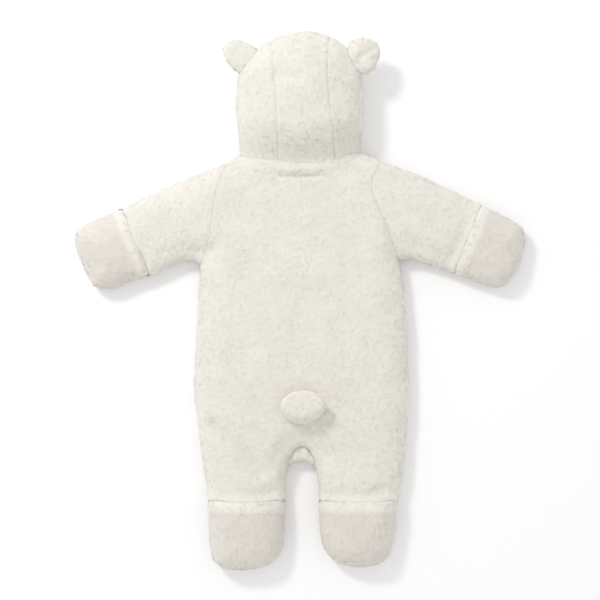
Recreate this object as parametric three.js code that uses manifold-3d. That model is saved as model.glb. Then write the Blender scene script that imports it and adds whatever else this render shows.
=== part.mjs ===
// Baby snowsuit in thick pile fleece, laid face down, so the back of the garment faces up.
// Millimetres. +Z is up, +Y runs to the top of the hood, +X to the right as seen from above.
// Every panel is a surface over its plan outline, made thick by a wall that follows the cloth.

import * as THREE from 'three';
import Module from 'manifold-3d';

// Driving sizes
const SEAM_HEIGHT = 15;       // height of the side seams, where back and front panels meet
const PANEL_GAP = 0.3;        // clearance between neighbouring panels at a seam
const TORSO_CROWN = 40;       // top of the back panel
const SLEEVE_CROWN = 34;      // top of a sleeve near its mitt
const BACK_ROUNDING = 42;     // plan distance over which the upper side rounds away
const FRONT_ROUNDING = 22;    // the same for the underside, which is flat inside it
const HOOD_EQUATOR = 38;      // height of the hood's widest outline
const HOOD_CROWN = 78;        // top of the hood
const HOOD_ROUNDING = 80;     // half the hood's width
const HOOD_TUCK = 28;         // how far the hood curls under to its face edge
const HOOD_RISE = 43;         // softened distance from the neck seam to the hood's full height
const HOOD_FILLET = 8;        // the rise starts level within about this distance of the seam
const ZIP_AXIS = 1.5;         // x of the front zip
const ZIP_CHANNEL = 12;       // width between the two front edges

const WALL = { body: 8, sleeve: 7, hood: 8, mitt: 6, bootie: 7 };
const SQUEEZE = 4;            // how much thinner the cloth is where it is tucked into a cover

// How a limb end is tucked into its fold-over cover, and how far the cover stands off it
const MITT = { reach: 40, inset: 8.2, lift: 6.4, dip: 2.5, crown: 39, rounding: 40 };
const BOOTIE = { reach: 50, inset: 8.5, lift: 7.4, dip: 2.5, crown: 47, rounding: 42 };
const TUCK_START = -12;       // the limb narrows from here, measured from the flap line
const TUCK_END = 4;
const DIP_END = -2;           // the limb's upper side has gone down by its dip here
const COVER_SETBACK = 5;      // the cover's edge runs this much further down at its sides
const FLAP_CORNER = 0.2;      // share of the flap edge that its rounded corner takes
const RELIEF_REACH = 18;      // folds fade out over this distance from the outline
const SLEEVE_BLEND = { from: 90, to: 230 };   // |x| over which the torso's crown turns sleeve

const table = (names, ...lines) => lines.map(
  (line) => Object.fromEntries(names.map((name, k) => [name, line[k]])));
const plan = (...lines) => table(['x', 'y'], ...lines);
const corner = (x, y) => ({ x, y, seam: true });

// How the limb's outline draws in at the mouth of its cover
const NECKING = table(['along', 'share'], [0.35, 0.02], [0.7, 0.4], [1, 1]);

// Corners where outlines and seams meet
const NECK_LEFT = corner(-77, 186);
const NECK_RIGHT = corner(78, 192);
const SHOULDER_LEFT = corner(-94, 178);
const SHOULDER_RIGHT = corner(105, 180);
const ARMPIT_LEFT = corner(-129, 47);
const ARMPIT_RIGHT = corner(127.5, 53);
const HIP_LEFT = corner(-129, -191);
const HIP_RIGHT = corner(136.5, -191);
const CROTCH = corner(2.6, -190);
const HOOD_LEFT = corner(-73, 305.5);
const HOOD_RIGHT = corner(72, 308);

// Outlines of the body, one row for each section
const TORSO_LEFT = plan([-131, 13], [-133, -32], [-136, -78], [-136.5, -127], [-132, -160]);
const TORSO_RIGHT = plan([134, 13], [138, -32], [140, -78], [140, -127], [139, -160]);
const ARMHOLE_LEFT = plan([-107, 143], [-113, 110], [-118, 78]);
const ARMHOLE_RIGHT = plan([92, 150], [96, 130], [110, 98]);
const NECK_CURVE = plan([-55, 182.5], [-26, 179], [0, 176], [26, 176], [46, 180], [62, 187]);
const LEG_LEFT_OUTER = plan([-127, -205], [-123.5, -229]);
const LEG_LEFT_INNER = plan([-3.5, -193], [-9, -198], [-14.3, -207], [-17.5, -218], [-19.5, -234]);
const LEG_RIGHT_INNER = plan([8.5, -193], [13, -198], [17, -205], [20, -216], [23, -231]);
const LEG_RIGHT_OUTER = plan([135, -205], [132, -229]);
const SLEEVE_LEFT_TOP = plan([-130, 163], [-169, 147]);
const SLEEVE_LEFT_LOW = plan([-137, 51], [-150, 52]);
const SLEEVE_RIGHT_TOP = plan([130, 170], [169, 155]);
const SLEEVE_RIGHT_LOW = plan([143, 53.5], [162, 48]);
const HOOD_SIDE_LEFT = plan([-78, 205], [-80, 228], [-82, 250], [-81, 272], [-79, 288]);
const HOOD_SIDE_RIGHT = plan([79, 212], [80, 238], [80.3, 270], [78.5, 291]);
const HOOD_TOP = plan([-54, 322], [-26, 337.5], [10, 344.5], [41, 336], [60, 322.5]);
const HOOD_SEAM_LEFT = plan([-30, 232], [-33, 275], [-35, 310]);
const HOOD_SEAM_RIGHT = plan([42, 212], [38, 240], [35, 275], [35, 310]);
const HOOD_SEAM_ENDS = { neckLeft: -28, neckRight: 45, topLeft: -36, topRight: 36.5 };
const FACE_EDGE_LEFT = plan([-22, 184], [-42, 200], [-50, 240], [-49, 275]);
const FACE_EDGE_TOP = plan([-36, 302], [0, 313], [37, 303]);
const FACE_EDGE_RIGHT = plan([25, 185], [44, 202], [51, 240], [49, 277]);

// Fold-over covers: where the limb's two edges meet the flap, and the cover's own outline
const COVERS = {
  mitt_left: {
    size: MITT, flap: [corner(-230, 119), corner(-194, 32.5)],
    tipA: corner(-289.5, 87.5), tipB: corner(-267.5, 18.5),
    edgeA: plan([-260, 105], [-281, 94.5]), tip: plan([-292.5, 77], [-286, 55], [-276, 33]),
    edgeB: plan([-257, 14.5], [-240, 15.6], [-221, 24.5]),
  },
  mitt_right: {
    size: MITT, flap: [corner(234, 124), corner(198, 35)],
    tipA: corner(289.5, 93), tipB: corner(268.5, 19.5),
    edgeA: plan([260, 111], [279.5, 100.5]), tip: plan([292.5, 82], [290, 62], [280, 35]),
    edgeB: plan([256, 16.5], [240, 20.5], [221, 27]),
  },
  bootie_left: {
    size: BOOTIE, flap: [corner(-119, -259), corner(-19.5, -259)],
    tipA: corner(-112, -338), tipB: corner(-29, -335),
    edgeA: plan([-117.5, -290], [-116, -320]), tip: plan([-101, -347], [-72, -350], [-42, -344]),
    edgeB: plan([-22, -318], [-20, -290]),
  },
  bootie_right: {
    size: BOOTIE, flap: [corner(24.5, -259), corner(127, -259)],
    tipA: corner(37, -330), tipB: corner(115, -332.5),
    edgeA: plan([26, -290], [29.5, -315]), tip: plan([52, -342], [80, -346.5], [104, -341.5]),
    edgeB: plan([120, -316], [124, -286]),
  },
};

// Largest folds: a trough lies along a line, a negative depth is a ridge
const FOLDS = table(['x0', 'y0', 'x1', 'y1', 'depth', 'width'],
  [-26, 170, 40, 171.5, -3, 5],         // roll just below the neck seam
  [-30, 161, 34, 162.5, 4.5, 5.5],      // crease under that roll
  [-112, -160, -52, -222, 4, 12],       // slanting trough on the left leg
  [215, 78, 196, 54, 4, 11],            // trough on the right sleeve, beside the mitt
  [-130, 60, -112, 66, 5, 9],           // crease at the left armpit
  [112, 92, 126, 58, 3, 8],             // pull below the right armhole
  [-24, -245, -60, -252, 3, 9],         // tuck above the left bootie
  [100, -246, 124, -240, 3.5, 8]);      // tuck above the right bootie
const HOOD_FOLDS = table(['x0', 'y0', 'x1', 'y1', 'depth', 'width'],
  [-30, 281, 0, 283, 2.5, 7],
  [44, 292, 78, 282, 2.5, 7],
  [36, 215, 70, 204, 2, 9]);

// Where the grid lines of the panels lie, as fractions of an edge
const ARMHOLE_STEPS = [0, 0.04, 0.09, 0.16, 0.3, 0.47, 0.65, 0.81, 0.93, 0.98, 1];
const SIDE_STEPS = [0, 0.14, 0.29, 0.44, 0.59, 0.73, 0.85, 0.93, 0.975, 1];
const SHOULDER_STEPS = [0, 0.35, 0.7, 1];
const NECK_SIDE_STEPS = [0, 0.06, 0.2, 0.42, 0.7, 1];
const NECK_MIDDLE_STEPS = [0, 0.17, 0.33, 0.5, 0.67, 0.83, 1];
const NECK_FRONT_STEPS = [0, 0.03, 0.1, 0.22, 0.42, 0.7, 1];
const LEG_ACROSS = [0, 0.02, 0.08, 0.18, 0.32, 0.47, 0.62, 0.76, 0.87, 0.95, 0.985, 1];
const LEG_FRONT_ACROSS = [0, 0.02, 0.08, 0.2, 0.4, 0.6, 0.8, 0.92, 0.98, 1];
const LEG_STEPS = [0, 0.1, 0.22, 0.4, 0.68, 1];
const SLEEVE_STEPS = [0, 0.2, 0.45, 0.72, 1];
const HOOD_STEPS = [0, 0.05, 0.12, 0.22, 0.36, 0.52, 0.68, 0.82, 0.92, 0.98, 1];
const HOOD_TOP_STEPS = [0, 0.15, 0.35, 0.6, 0.8, 1];
const CURL_STEPS = [0, 0.04, 0.14, 0.33, 0.6, 0.85, 1];
const COVER_ACROSS = [0, 0.04, 0.14, 0.3, 0.5, 0.7, 0.86, 0.96, 1];
const COVER_ALONG = [0, 0.2, 0.45, 0.68, 0.85, 0.95, 1];
const PAD_ACROSS = [0, 0.08, 0.25, 0.5, 0.75, 0.92, 1];
const PAD_ALONG = [0, 0.35, 0.65, 0.87, 1];
const ROOT_STEPS = [0, 0.25, 0.5, 0.75, 1];

// Small helpers
const lerp = (a, b, t) => a + (b - a) * t;
const mix = (p, q, t) => ({ x: lerp(p.x, q.x, t), y: lerp(p.y, q.y, t) });
const clamp = (t) => Math.min(1, Math.max(0, t));
const ramp = (from, to, t) => clamp((t - from) / (to - from));
const smooth = (from, to, t) => { const s = ramp(from, to, t); return s * s * (3 - 2 * s); };
// Quarter ellipse: 0 at the outline with an upright tangent, 1 and level from s = 1 on
const rounding = (s) => Math.sqrt(1 - (1 - clamp(s)) ** 2);

/** A smooth plan curve through points, sampled by fractions of its length. */
class Edge {
  constructor(points) {
    const path = points.map((p) => new THREE.Vector3(p.x, p.y, 0));
    this.curve = new THREE.CatmullRomCurve3(path, false, 'centripetal');
    this.curve.arcLengthDivisions = 400;
    this.first = points[0];
    this.last = points[points.length - 1];
  }

  at(fraction) {
    const p = this.curve.getPointAt(fraction);
    return { x: p.x, y: p.y };
  }

  sample(steps, seam = false) {
    return steps.map((fraction) => {
      if (fraction === 0) return this.first;
      if (fraction === 1) return this.last;
      return { ...this.at(fraction), seam };
    });
  }

  polyline(count = 48) {
    return Array.from({ length: count + 1 }, (_, k) => this.at(k / count));
  }
}

function segmentDistance(x, y, p, q) {
  const dx = q.x - p.x;
  const dy = q.y - p.y;
  const t = clamp(((x - p.x) * dx + (y - p.y) * dy) / (dx * dx + dy * dy || 1));
  return Math.hypot(x - p.x - t * dx, y - p.y - t * dy);
}

function distanceTo(polylines, x, y) {
  let least = Infinity;
  for (const line of polylines) {
    for (let k = 1; k < line.length; k += 1) {
      least = Math.min(least, segmentDistance(x, y, line[k - 1], line[k]));
    }
  }
  return least;
}

/** Depth of all folds at a point; each is a soft groove around its line. */
function foldDepth(folds, x, y) {
  let depth = 0;
  for (const fold of folds) {
    const off = segmentDistance(x, y, { x: fold.x0, y: fold.y0 }, { x: fold.x1, y: fold.y1 });
    depth += fold.depth * Math.exp(-((off / fold.width) ** 2));
  }
  return depth;
}

// Covers: outline edges, the flap line's frame, and the limb end hidden inside
for (const cover of Object.values(COVERS)) {
  const [a, b] = cover.flap;
  const length = Math.hypot(b.x - a.x, b.y - a.y);
  const across = { x: (b.x - a.x) / length, y: (b.y - a.y) / length };
  const side = (cover.tipA.x - a.x) * across.y - (cover.tipA.y - a.y) * across.x > 0 ? 1 : -1;
  cover.across = across;
  cover.outward = { x: across.y * side, y: -across.x * side };
  cover.reachOf = (x, y) => (x - a.x) * cover.outward.x + (y - a.y) * cover.outward.y;
  cover.covers = (x, y) => y * a.y > 0 && x * (a.x + b.x) > 0;
  cover.lineA = new Edge([a, ...cover.edgeA, cover.tipA]);
  cover.lineB = new Edge([b, ...cover.edgeB.slice().reverse(), cover.tipB]);
  cover.lineTip = new Edge([cover.tipA, ...cover.tip, cover.tipB]);
}

/** The point of a cover's edge that lies a given distance past the flap line. */
function atReach(cover, edge, reach) {
  let low = 0;
  let high = 1;
  for (let k = 0; k < 30; k += 1) {
    const middle = (low + high) / 2;
    const p = edge.at(middle);
    if (cover.reachOf(p.x, p.y) < reach) low = middle;
    else high = middle;
  }
  return edge.at((low + high) / 2);
}

/** The limb's edge from its last free section into the cover, moved in by the inset. */
function tuckedEdge(cover, edge, free, towards) {
  const movedIn = (p, share) => {
    const step = cover.size.inset * towards * share;
    return corner(p.x + cover.across.x * step, p.y + cover.across.y * step);
  };
  const entry = atReach(cover, edge, TUCK_END);
  const necking = NECKING.map(({ along, share }) => movedIn(mix(free, entry, along), share));
  return [free, ...necking, movedIn(atReach(cover, edge, cover.size.reach), 1)];
}

/** A limb edge: the free stretch from its root, then the part tucked into the cover. */
function limbEdge(cover, edge, flapPoint, root, middle, towards, steps) {
  const free = corner(flapPoint.x + cover.outward.x * TUCK_START,
    flapPoint.y + cover.outward.y * TUCK_START);
  const shown = new Edge([root, ...middle, free]);
  const tucked = tuckedEdge(cover, edge, free, towards);
  return { shown: shown.sample(steps, true), tucked, outline: [...shown.polyline(), ...tucked] };
}

const limb = (name, rootA, middleA, rootB, middleB, steps) => {
  const cover = COVERS[name];
  return {
    a: limbEdge(cover, cover.lineA, cover.flap[0], rootA, middleA, 1, steps),
    b: limbEdge(cover, cover.lineB, cover.flap[1], rootB, middleB, -1, steps),
  };
};

const sleeveLeft = limb('mitt_left',
  SHOULDER_LEFT, SLEEVE_LEFT_TOP, ARMPIT_LEFT, SLEEVE_LEFT_LOW, SLEEVE_STEPS);
const sleeveRight = limb('mitt_right',
  SHOULDER_RIGHT, SLEEVE_RIGHT_TOP, ARMPIT_RIGHT, SLEEVE_RIGHT_LOW, SLEEVE_STEPS);
const legLeft = limb('bootie_left',
  HIP_LEFT, LEG_LEFT_OUTER, CROTCH, LEG_LEFT_INNER, LEG_STEPS);
const legRight = limb('bootie_right',
  CROTCH, LEG_RIGHT_INNER, HIP_RIGHT, LEG_RIGHT_OUTER, LEG_STEPS);

const sideLeft = new Edge([ARMPIT_LEFT, ...TORSO_LEFT, HIP_LEFT]);
const sideRight = new Edge([ARMPIT_RIGHT, ...TORSO_RIGHT, HIP_RIGHT]);
const shoulderLeft = new Edge([SHOULDER_LEFT, NECK_LEFT]);
const shoulderRight = new Edge([NECK_RIGHT, SHOULDER_RIGHT]);
const armholeLeft = new Edge([SHOULDER_LEFT, ...ARMHOLE_LEFT, ARMPIT_LEFT]);
const armholeRight = new Edge([SHOULDER_RIGHT, ...ARMHOLE_RIGHT, ARMPIT_RIGHT]);
const neck = new Edge([NECK_LEFT, ...NECK_CURVE, NECK_RIGHT]);
const hoodLeft = new Edge([NECK_LEFT, ...HOOD_SIDE_LEFT, HOOD_LEFT]);
const hoodRight = new Edge([NECK_RIGHT, ...HOOD_SIDE_RIGHT, HOOD_RIGHT]);
const hoodTop = new Edge([HOOD_LEFT, ...HOOD_TOP, HOOD_RIGHT]);

const OUTLINE = [
  sideLeft.polyline(), sideRight.polyline(), shoulderLeft.polyline(2), shoulderRight.polyline(2),
  sleeveLeft.a.outline, sleeveLeft.b.outline, sleeveRight.a.outline, sleeveRight.b.outline,
  legLeft.a.outline, legLeft.b.outline, legRight.a.outline, legRight.b.outline,
  hoodLeft.polyline(), hoodTop.polyline(), hoodRight.polyline(),
];

// Heights of the body, sleeves and legs
function tuckAt(x, y) {
  for (const cover of Object.values(COVERS)) {
    const reach = cover.covers(x, y) ? cover.reachOf(x, y) : -Infinity;
    if (reach > TUCK_START) {
      return {
        lift: cover.size.lift * ramp(TUCK_START, TUCK_END, reach),
        dip: cover.size.dip * ramp(TUCK_START, DIP_END, reach),
        squeeze: SQUEEZE * ramp(TUCK_START, TUCK_END, reach),
      };
    }
  }
  return { lift: 0, dip: 0, squeeze: 0 };
}

function bodyTop(p) {
  if (p.seam) return SEAM_HEIGHT;
  const edge = distanceTo(OUTLINE, p.x, p.y);
  const sleeved = smooth(SLEEVE_BLEND.from, SLEEVE_BLEND.to, Math.abs(p.x));
  const crown = lerp(TORSO_CROWN, SLEEVE_CROWN, sleeved);
  const relief = tuckAt(p.x, p.y).dip + foldDepth(FOLDS, p.x, p.y);
  return SEAM_HEIGHT + (crown - SEAM_HEIGHT) * rounding(edge / BACK_ROUNDING)
    - relief * ramp(0, RELIEF_REACH, edge);
}

function bodyBottom(p) {
  if (p.seam) return SEAM_HEIGHT;
  const edge = distanceTo(OUTLINE, p.x, p.y);
  const floor = tuckAt(p.x, p.y).lift;
  return SEAM_HEIGHT - (SEAM_HEIGHT - floor) * rounding(edge / FRONT_ROUNDING);
}

// Heights of the hood, which grow out of the body's own heights at the neck seam
const neckLine = neck.polyline(60);
function neckY(x) {
  const k = neckLine.findIndex((p) => p.x >= x);
  if (k === 0) return neckLine[0].y;
  if (k < 0) return neckLine[neckLine.length - 1].y;
  const [p, q] = [neckLine[k - 1], neckLine[k]];
  return lerp(p.y, q.y, (x - p.x) / (q.x - p.x));
}
function hoodShare(p) {
  const past = Math.max(p.y - neckY(p.x), 0);
  return Math.sin(Math.PI / 2 * ramp(0, HOOD_RISE, past * past / (past + HOOD_FILLET)));
}

function hoodUpper(p) {
  const share = hoodShare(p);
  if (p.seam) return lerp(SEAM_HEIGHT, HOOD_EQUATOR, share);
  const edge = distanceTo(OUTLINE, p.x, p.y);
  const dome = HOOD_EQUATOR + (HOOD_CROWN - HOOD_EQUATOR) * rounding(edge / HOOD_ROUNDING)
    - foldDepth(HOOD_FOLDS, p.x, p.y) * ramp(0, RELIEF_REACH, edge);
  return lerp(bodyTop(p), dome, share);
}

function hoodLower(p) {
  const share = hoodShare(p);
  if (p.seam) return lerp(SEAM_HEIGHT, HOOD_EQUATOR, share);
  const edge = distanceTo(OUTLINE, p.x, p.y);
  const curl = HOOD_EQUATOR * (1 - rounding(edge / HOOD_TUCK));
  return lerp(bodyBottom(p), curl, share);
}

// Coons patch: a plan grid between four edges. start and end run a to b, sideA and sideB
// run from start to end. Border points are the very objects of the edges.
function fractions(points) {
  const sums = [0];
  for (let k = 1; k < points.length; k += 1) {
    const [p, q] = [points[k - 1], points[k]];
    sums.push(sums[k - 1] + Math.hypot(q.x - p.x, q.y - p.y));
  }
  const total = sums[sums.length - 1];
  return sums.map((sum, k) => (total > 0 ? sum / total : k / (points.length - 1)));
}

function coons(start, end, sideA, sideB) {
  const rows = sideA.length - 1;
  const columns = start.length - 1;
  const [fs, fe, fa, fb] = [start, end, sideA, sideB].map(fractions);
  const [c00, c01, c10, c11] = [start[0], start[columns], end[0], end[columns]];
  const blend = (key, i, j, s, t) => lerp(start[j][key], end[j][key], t)
    + lerp(sideA[i][key], sideB[i][key], s)
    - lerp(lerp(c00[key], c01[key], s), lerp(c10[key], c11[key], s), t);
  return sideA.map((_, i) => start.map((__, j) => {
    if (i === 0) return start[j];
    if (i === rows) return end[j];
    if (j === 0) return sideA[i];
    if (j === columns) return sideB[i];
    let s = lerp(fs[j], fe[j], 0.5);
    const t = lerp(fa[i], fb[i], s);
    s = lerp(fs[j], fe[j], t);
    return { x: blend('x', i, j, s, t), y: blend('y', i, j, s, t) };
  }));
}

/** Triangles over one or more grids; points that coincide become one vertex. */
class Quilt {
  constructor() {
    this.vertices = [];
    this.triangles = [];
    this.index = new Map();
  }

  vertex(x, y, z) {
    const key = [x, y, z].map((value) => Math.round(value * 1e3)).join();
    if (!this.index.has(key)) {
      this.index.set(key, this.vertices.length);
      this.vertices.push(new THREE.Vector3(x, y, z));
    }
    return this.index.get(key);
  }

  triangle(a, b, c) {
    if (a !== b && b !== c && c !== a) this.triangles.push([a, b, c]);
  }

  addGrid(grid, height, facesUp) {
    const ids = grid.map((row) => row.map((p) => this.vertex(p.x, p.y, height(p))));
    let area = 0;
    for (let i = 1; i < grid.length; i += 1) {
      for (let j = 1; j < grid[0].length; j += 1) {
        const [p, q, r, s] = [grid[i - 1][j - 1], grid[i - 1][j], grid[i][j], grid[i][j - 1]];
        area += (r.x - p.x) * (s.y - q.y) - (r.y - p.y) * (s.x - q.x);
      }
    }
    const turn = (area > 0) !== facesUp;
    for (let i = 1; i < grid.length; i += 1) {
      for (let j = 1; j < grid[0].length; j += 1) {
        const quad = [ids[i - 1][j - 1], ids[i - 1][j], ids[i][j], ids[i][j - 1]];
        if (turn) quad.reverse();
        this.triangle(quad[0], quad[1], quad[2]);
        this.triangle(quad[0], quad[2], quad[3]);
      }
    }
    return ids;
  }

  normals() {
    const normals = this.vertices.map(() => new THREE.Vector3());
    for (const ids of this.triangles) {
      const [a, b, c] = ids.map((id) => this.vertices[id]);
      const face = b.clone().sub(a).cross(c.clone().sub(a)).normalize();
      ids.forEach((id, k) => {
        const at = this.vertices[id];
        const one = this.vertices[ids[(k + 1) % 3]].clone().sub(at);
        const two = this.vertices[ids[(k + 2) % 3]].clone().sub(at);
        normals[id].addScaledVector(face, one.angleTo(two));
      });
    }
    return normals.map((normal) => normal.normalize());
  }

  borderEdges() {
    const edges = new Map();
    for (const [a, b, c] of this.triangles) {
      for (const [p, q, apex] of [[a, b, c], [b, c, a], [c, a, b]]) {
        if (!edges.delete(`${q},${p}`)) edges.set(`${p},${q}`, { p, q, apex });
      }
    }
    return [...edges.values()];
  }

  geometry() {
    const geometry = new THREE.BufferGeometry();
    const flat = this.vertices.flatMap((v) => [v.x, v.y, v.z]);
    geometry.setAttribute('position', new THREE.Float32BufferAttribute(flat, 3));
    geometry.setIndex(this.triangles.flat());
    geometry.computeVertexNormals();
    return geometry;
  }
}

/**
 * The planes that a border vertex's wall stays in, as normals that point into the panel. At a
 * side seam the plane is level; at every other border it is upright over the seam's plan curve.
 */
function borderPlanes(quilt, border) {
  const planes = new Map();
  for (const { p, q, apex } of border) {
    const [a, b, c] = [p, q, apex].map((id) => quilt.vertices[id]);
    const level = Math.abs(a.z - SEAM_HEIGHT) < 1e-6 && Math.abs(b.z - SEAM_HEIGHT) < 1e-6;
    const normal = level ? new THREE.Vector3(0, 0, Math.sign(c.z - SEAM_HEIGHT))
      : new THREE.Vector3(a.y - b.y, b.x - a.x, 0);
    if (!level && normal.dot(c.clone().sub(a)) < 0) normal.negate();
    for (const id of [p, q]) {
      if (!planes.has(id)) planes.set(id, []);
      const same = planes.get(id).find((one) => one.angleTo(normal) < Math.PI / 5);
      if (same) same.add(normal);
      else planes.get(id).push(normal.clone());
    }
  }
  return planes;
}

/** The direction closest to inward that lies in all the planes. */
function withinPlanes(inward, normals) {
  if (normals.length > 1) {
    const line = normals[0].clone().cross(normals[1]).normalize();
    return line.dot(inward) < 0 ? line.negate() : line;
  }
  return inward.addScaledVector(normals[0], -inward.dot(normals[0])).normalize();
}

/** A closed wall: the quilt outside, the same points moved in by the wall, and its rims. */
function thicken(quilt, wall) {
  const normals = quilt.normals();
  const border = quilt.borderEdges();
  const planes = borderPlanes(quilt, border);
  const solid = new Quilt();
  const outer = [];
  const inner = [];
  quilt.vertices.forEach((vertex, id) => {
    const place = vertex.clone();
    let inward = normals[id].clone().negate();
    if (planes.has(id)) {
      const own = planes.get(id).map((normal) => normal.normalize());
      own.forEach((normal) => place.addScaledVector(normal, PANEL_GAP / 2));
      inward = withinPlanes(inward, own);
    }
    outer[id] = solid.vertex(place.x, place.y, place.z);
    place.addScaledVector(inward, wall(vertex));
    inner[id] = solid.vertex(place.x, place.y, place.z);
  });
  for (const [a, b, c] of quilt.triangles) {
    solid.triangle(outer[a], outer[b], outer[c]);
    solid.triangle(inner[c], inner[b], inner[a]);
  }
  for (const { p, q } of border) {
    solid.triangle(outer[q], outer[p], inner[p]);
    solid.triangle(outer[q], inner[p], inner[q]);
  }
  return solid.geometry();
}

const bodyWall = (p) => WALL.body - tuckAt(p.x, p.y).squeeze;
const sleeveWall = (p) => WALL.sleeve - tuckAt(p.x, p.y).squeeze;
const hoodWall = () => WALL.hood;

// Shared seam points
const armholeLeftPoints = armholeLeft.sample(ARMHOLE_STEPS);
const armholeRightPoints = armholeRight.sample(ARMHOLE_STEPS);
const sideLeftPoints = sideLeft.sample(SIDE_STEPS, true);
const sideRightPoints = sideRight.sample(SIDE_STEPS, true);
const shoulderLeftPoints = shoulderLeft.sample(SHOULDER_STEPS, true);
const shoulderRightPoints = shoulderRight.sample(SHOULDER_STEPS, true);

/** The fraction of an edge, which runs to the right, at which it crosses x. */
function fractionAtX(edge, x) {
  let low = 0;
  let high = 1;
  for (let k = 0; k < 30; k += 1) {
    const middle = (low + high) / 2;
    if (edge.at(middle).x < x) low = middle;
    else high = middle;
  }
  return (low + high) / 2;
}

const neckStretch = (from, to, steps) => steps.map((step) => {
  const fraction = lerp(from, to, step);
  if (fraction === 0) return NECK_LEFT;
  if (fraction === 1) return NECK_RIGHT;
  return neck.at(fraction);
});
const seamLeftAt = fractionAtX(neck, HOOD_SEAM_ENDS.neckLeft);
const seamRightAt = fractionAtX(neck, HOOD_SEAM_ENDS.neckRight);
const frontLeftAt = fractionAtX(neck, ZIP_AXIS - ZIP_CHANNEL / 2);
const frontRightAt = fractionAtX(neck, ZIP_AXIS + ZIP_CHANNEL / 2);
const neckBackLeft = neckStretch(0, seamLeftAt, NECK_SIDE_STEPS);
const neckBackMiddle = neckStretch(seamLeftAt, seamRightAt, NECK_MIDDLE_STEPS);
const neckBackRight = neckStretch(1, seamRightAt, NECK_SIDE_STEPS);
const neckFrontLeft = neckStretch(0, frontLeftAt, NECK_FRONT_STEPS);
const neckFrontRight = neckStretch(1, frontRightAt, NECK_FRONT_STEPS);

/** Points between two corners by fractions; the ends are the corners themselves. */
function straight(p, q, steps, seam = false) {
  return steps.map((t) => (t === 0 ? p : t === 1 ? q : { ...mix(p, q, t), seam }));
}

/** A limb's free stretch and its tucked end, from its root line to its hem. */
function addLimb(quilt, { a, b }, root, steps, height, facesUp) {
  const entry = straight(a.tucked[0], b.tucked[0], steps);
  const hem = straight(a.tucked.at(-1), b.tucked.at(-1), steps);
  quilt.addGrid(coons(root, entry, a.shown, b.shown), height, facesUp);
  quilt.addGrid(coons(entry, hem, a.tucked, b.tucked), height, facesUp);
}

// Back panel: torso, then one leg on each side of the crotch
function backPanel() {
  const quilt = new Quilt();
  const hipLeft = straight(HIP_LEFT, CROTCH, LEG_ACROSS);
  const hipRight = straight(CROTCH, HIP_RIGHT, LEG_ACROSS);
  const top = [...shoulderLeftPoints, ...neckBackLeft.slice(1), ...neckBackMiddle.slice(1),
    ...neckBackRight.slice(0, -1).reverse(), ...shoulderRightPoints.slice(1)];
  quilt.addGrid(coons(top, [...hipLeft, ...hipRight.slice(1)],
    [...armholeLeftPoints, ...sideLeftPoints.slice(1)],
    [...armholeRightPoints, ...sideRightPoints.slice(1)]), bodyTop, true);
  addLimb(quilt, legLeft, hipLeft, LEG_ACROSS, bodyTop, true);
  addLimb(quilt, legRight, hipRight, LEG_ACROSS, bodyTop, true);
  return thicken(quilt, bodyWall);
}

// A front panel runs from the side seam to the zip, and its leg from the hip to the hem
function frontPanel(side) {
  const left = side === 'left';
  const leg = left ? legLeft : legRight;
  const [outside, inside] = left ? [leg.a, leg.b] : [leg.b, leg.a];
  const zipX = ZIP_AXIS + (left ? -1 : 1) * ZIP_CHANNEL / 2;
  const arch = inside.outline.find((p) => (left ? p.x <= zipX : p.x >= zipX));
  const fork = corner(zipX, arch.y);
  const hip = left ? HIP_LEFT : HIP_RIGHT;
  const shoulder = left ? shoulderLeftPoints : [...shoulderRightPoints].reverse();
  const front = left ? neckFrontLeft : neckFrontRight;
  const armhole = left ? armholeLeftPoints : armholeRightPoints;
  const sidePoints = left ? sideLeftPoints : sideRightPoints;
  const outer = [...armhole, ...sidePoints.slice(1)];
  const steps = fractions(outer);
  const zipTop = front.at(-1);
  const zipEdge = steps.map((t, k) => {
    if (k === 0) return zipTop;
    return k === steps.length - 1 ? fork : { x: zipX, y: lerp(zipTop.y, fork.y, t) };
  });
  const hipLine = straight(hip, fork, LEG_FRONT_ACROSS);
  const quilt = new Quilt();
  quilt.addGrid(coons([...shoulder, ...front.slice(1)], hipLine, outer, zipEdge),
    bodyBottom, false);
  const forked = { ...inside, shown: [fork, ...inside.shown.slice(1)] };
  addLimb(quilt, { a: outside, b: forked }, hipLine, LEG_FRONT_ACROSS, bodyBottom, false);
  return thicken(quilt, bodyWall);
}

// A sleeve is one cut piece: its upper and under sides join along the top and the underarm
function sleeve(limbEdges, armhole) {
  const quilt = new Quilt();
  addLimb(quilt, limbEdges, armhole, ARMHOLE_STEPS, bodyTop, true);
  addLimb(quilt, limbEdges, armhole, ARMHOLE_STEPS, bodyBottom, false);
  return thicken(quilt, sleeveWall);
}

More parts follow.
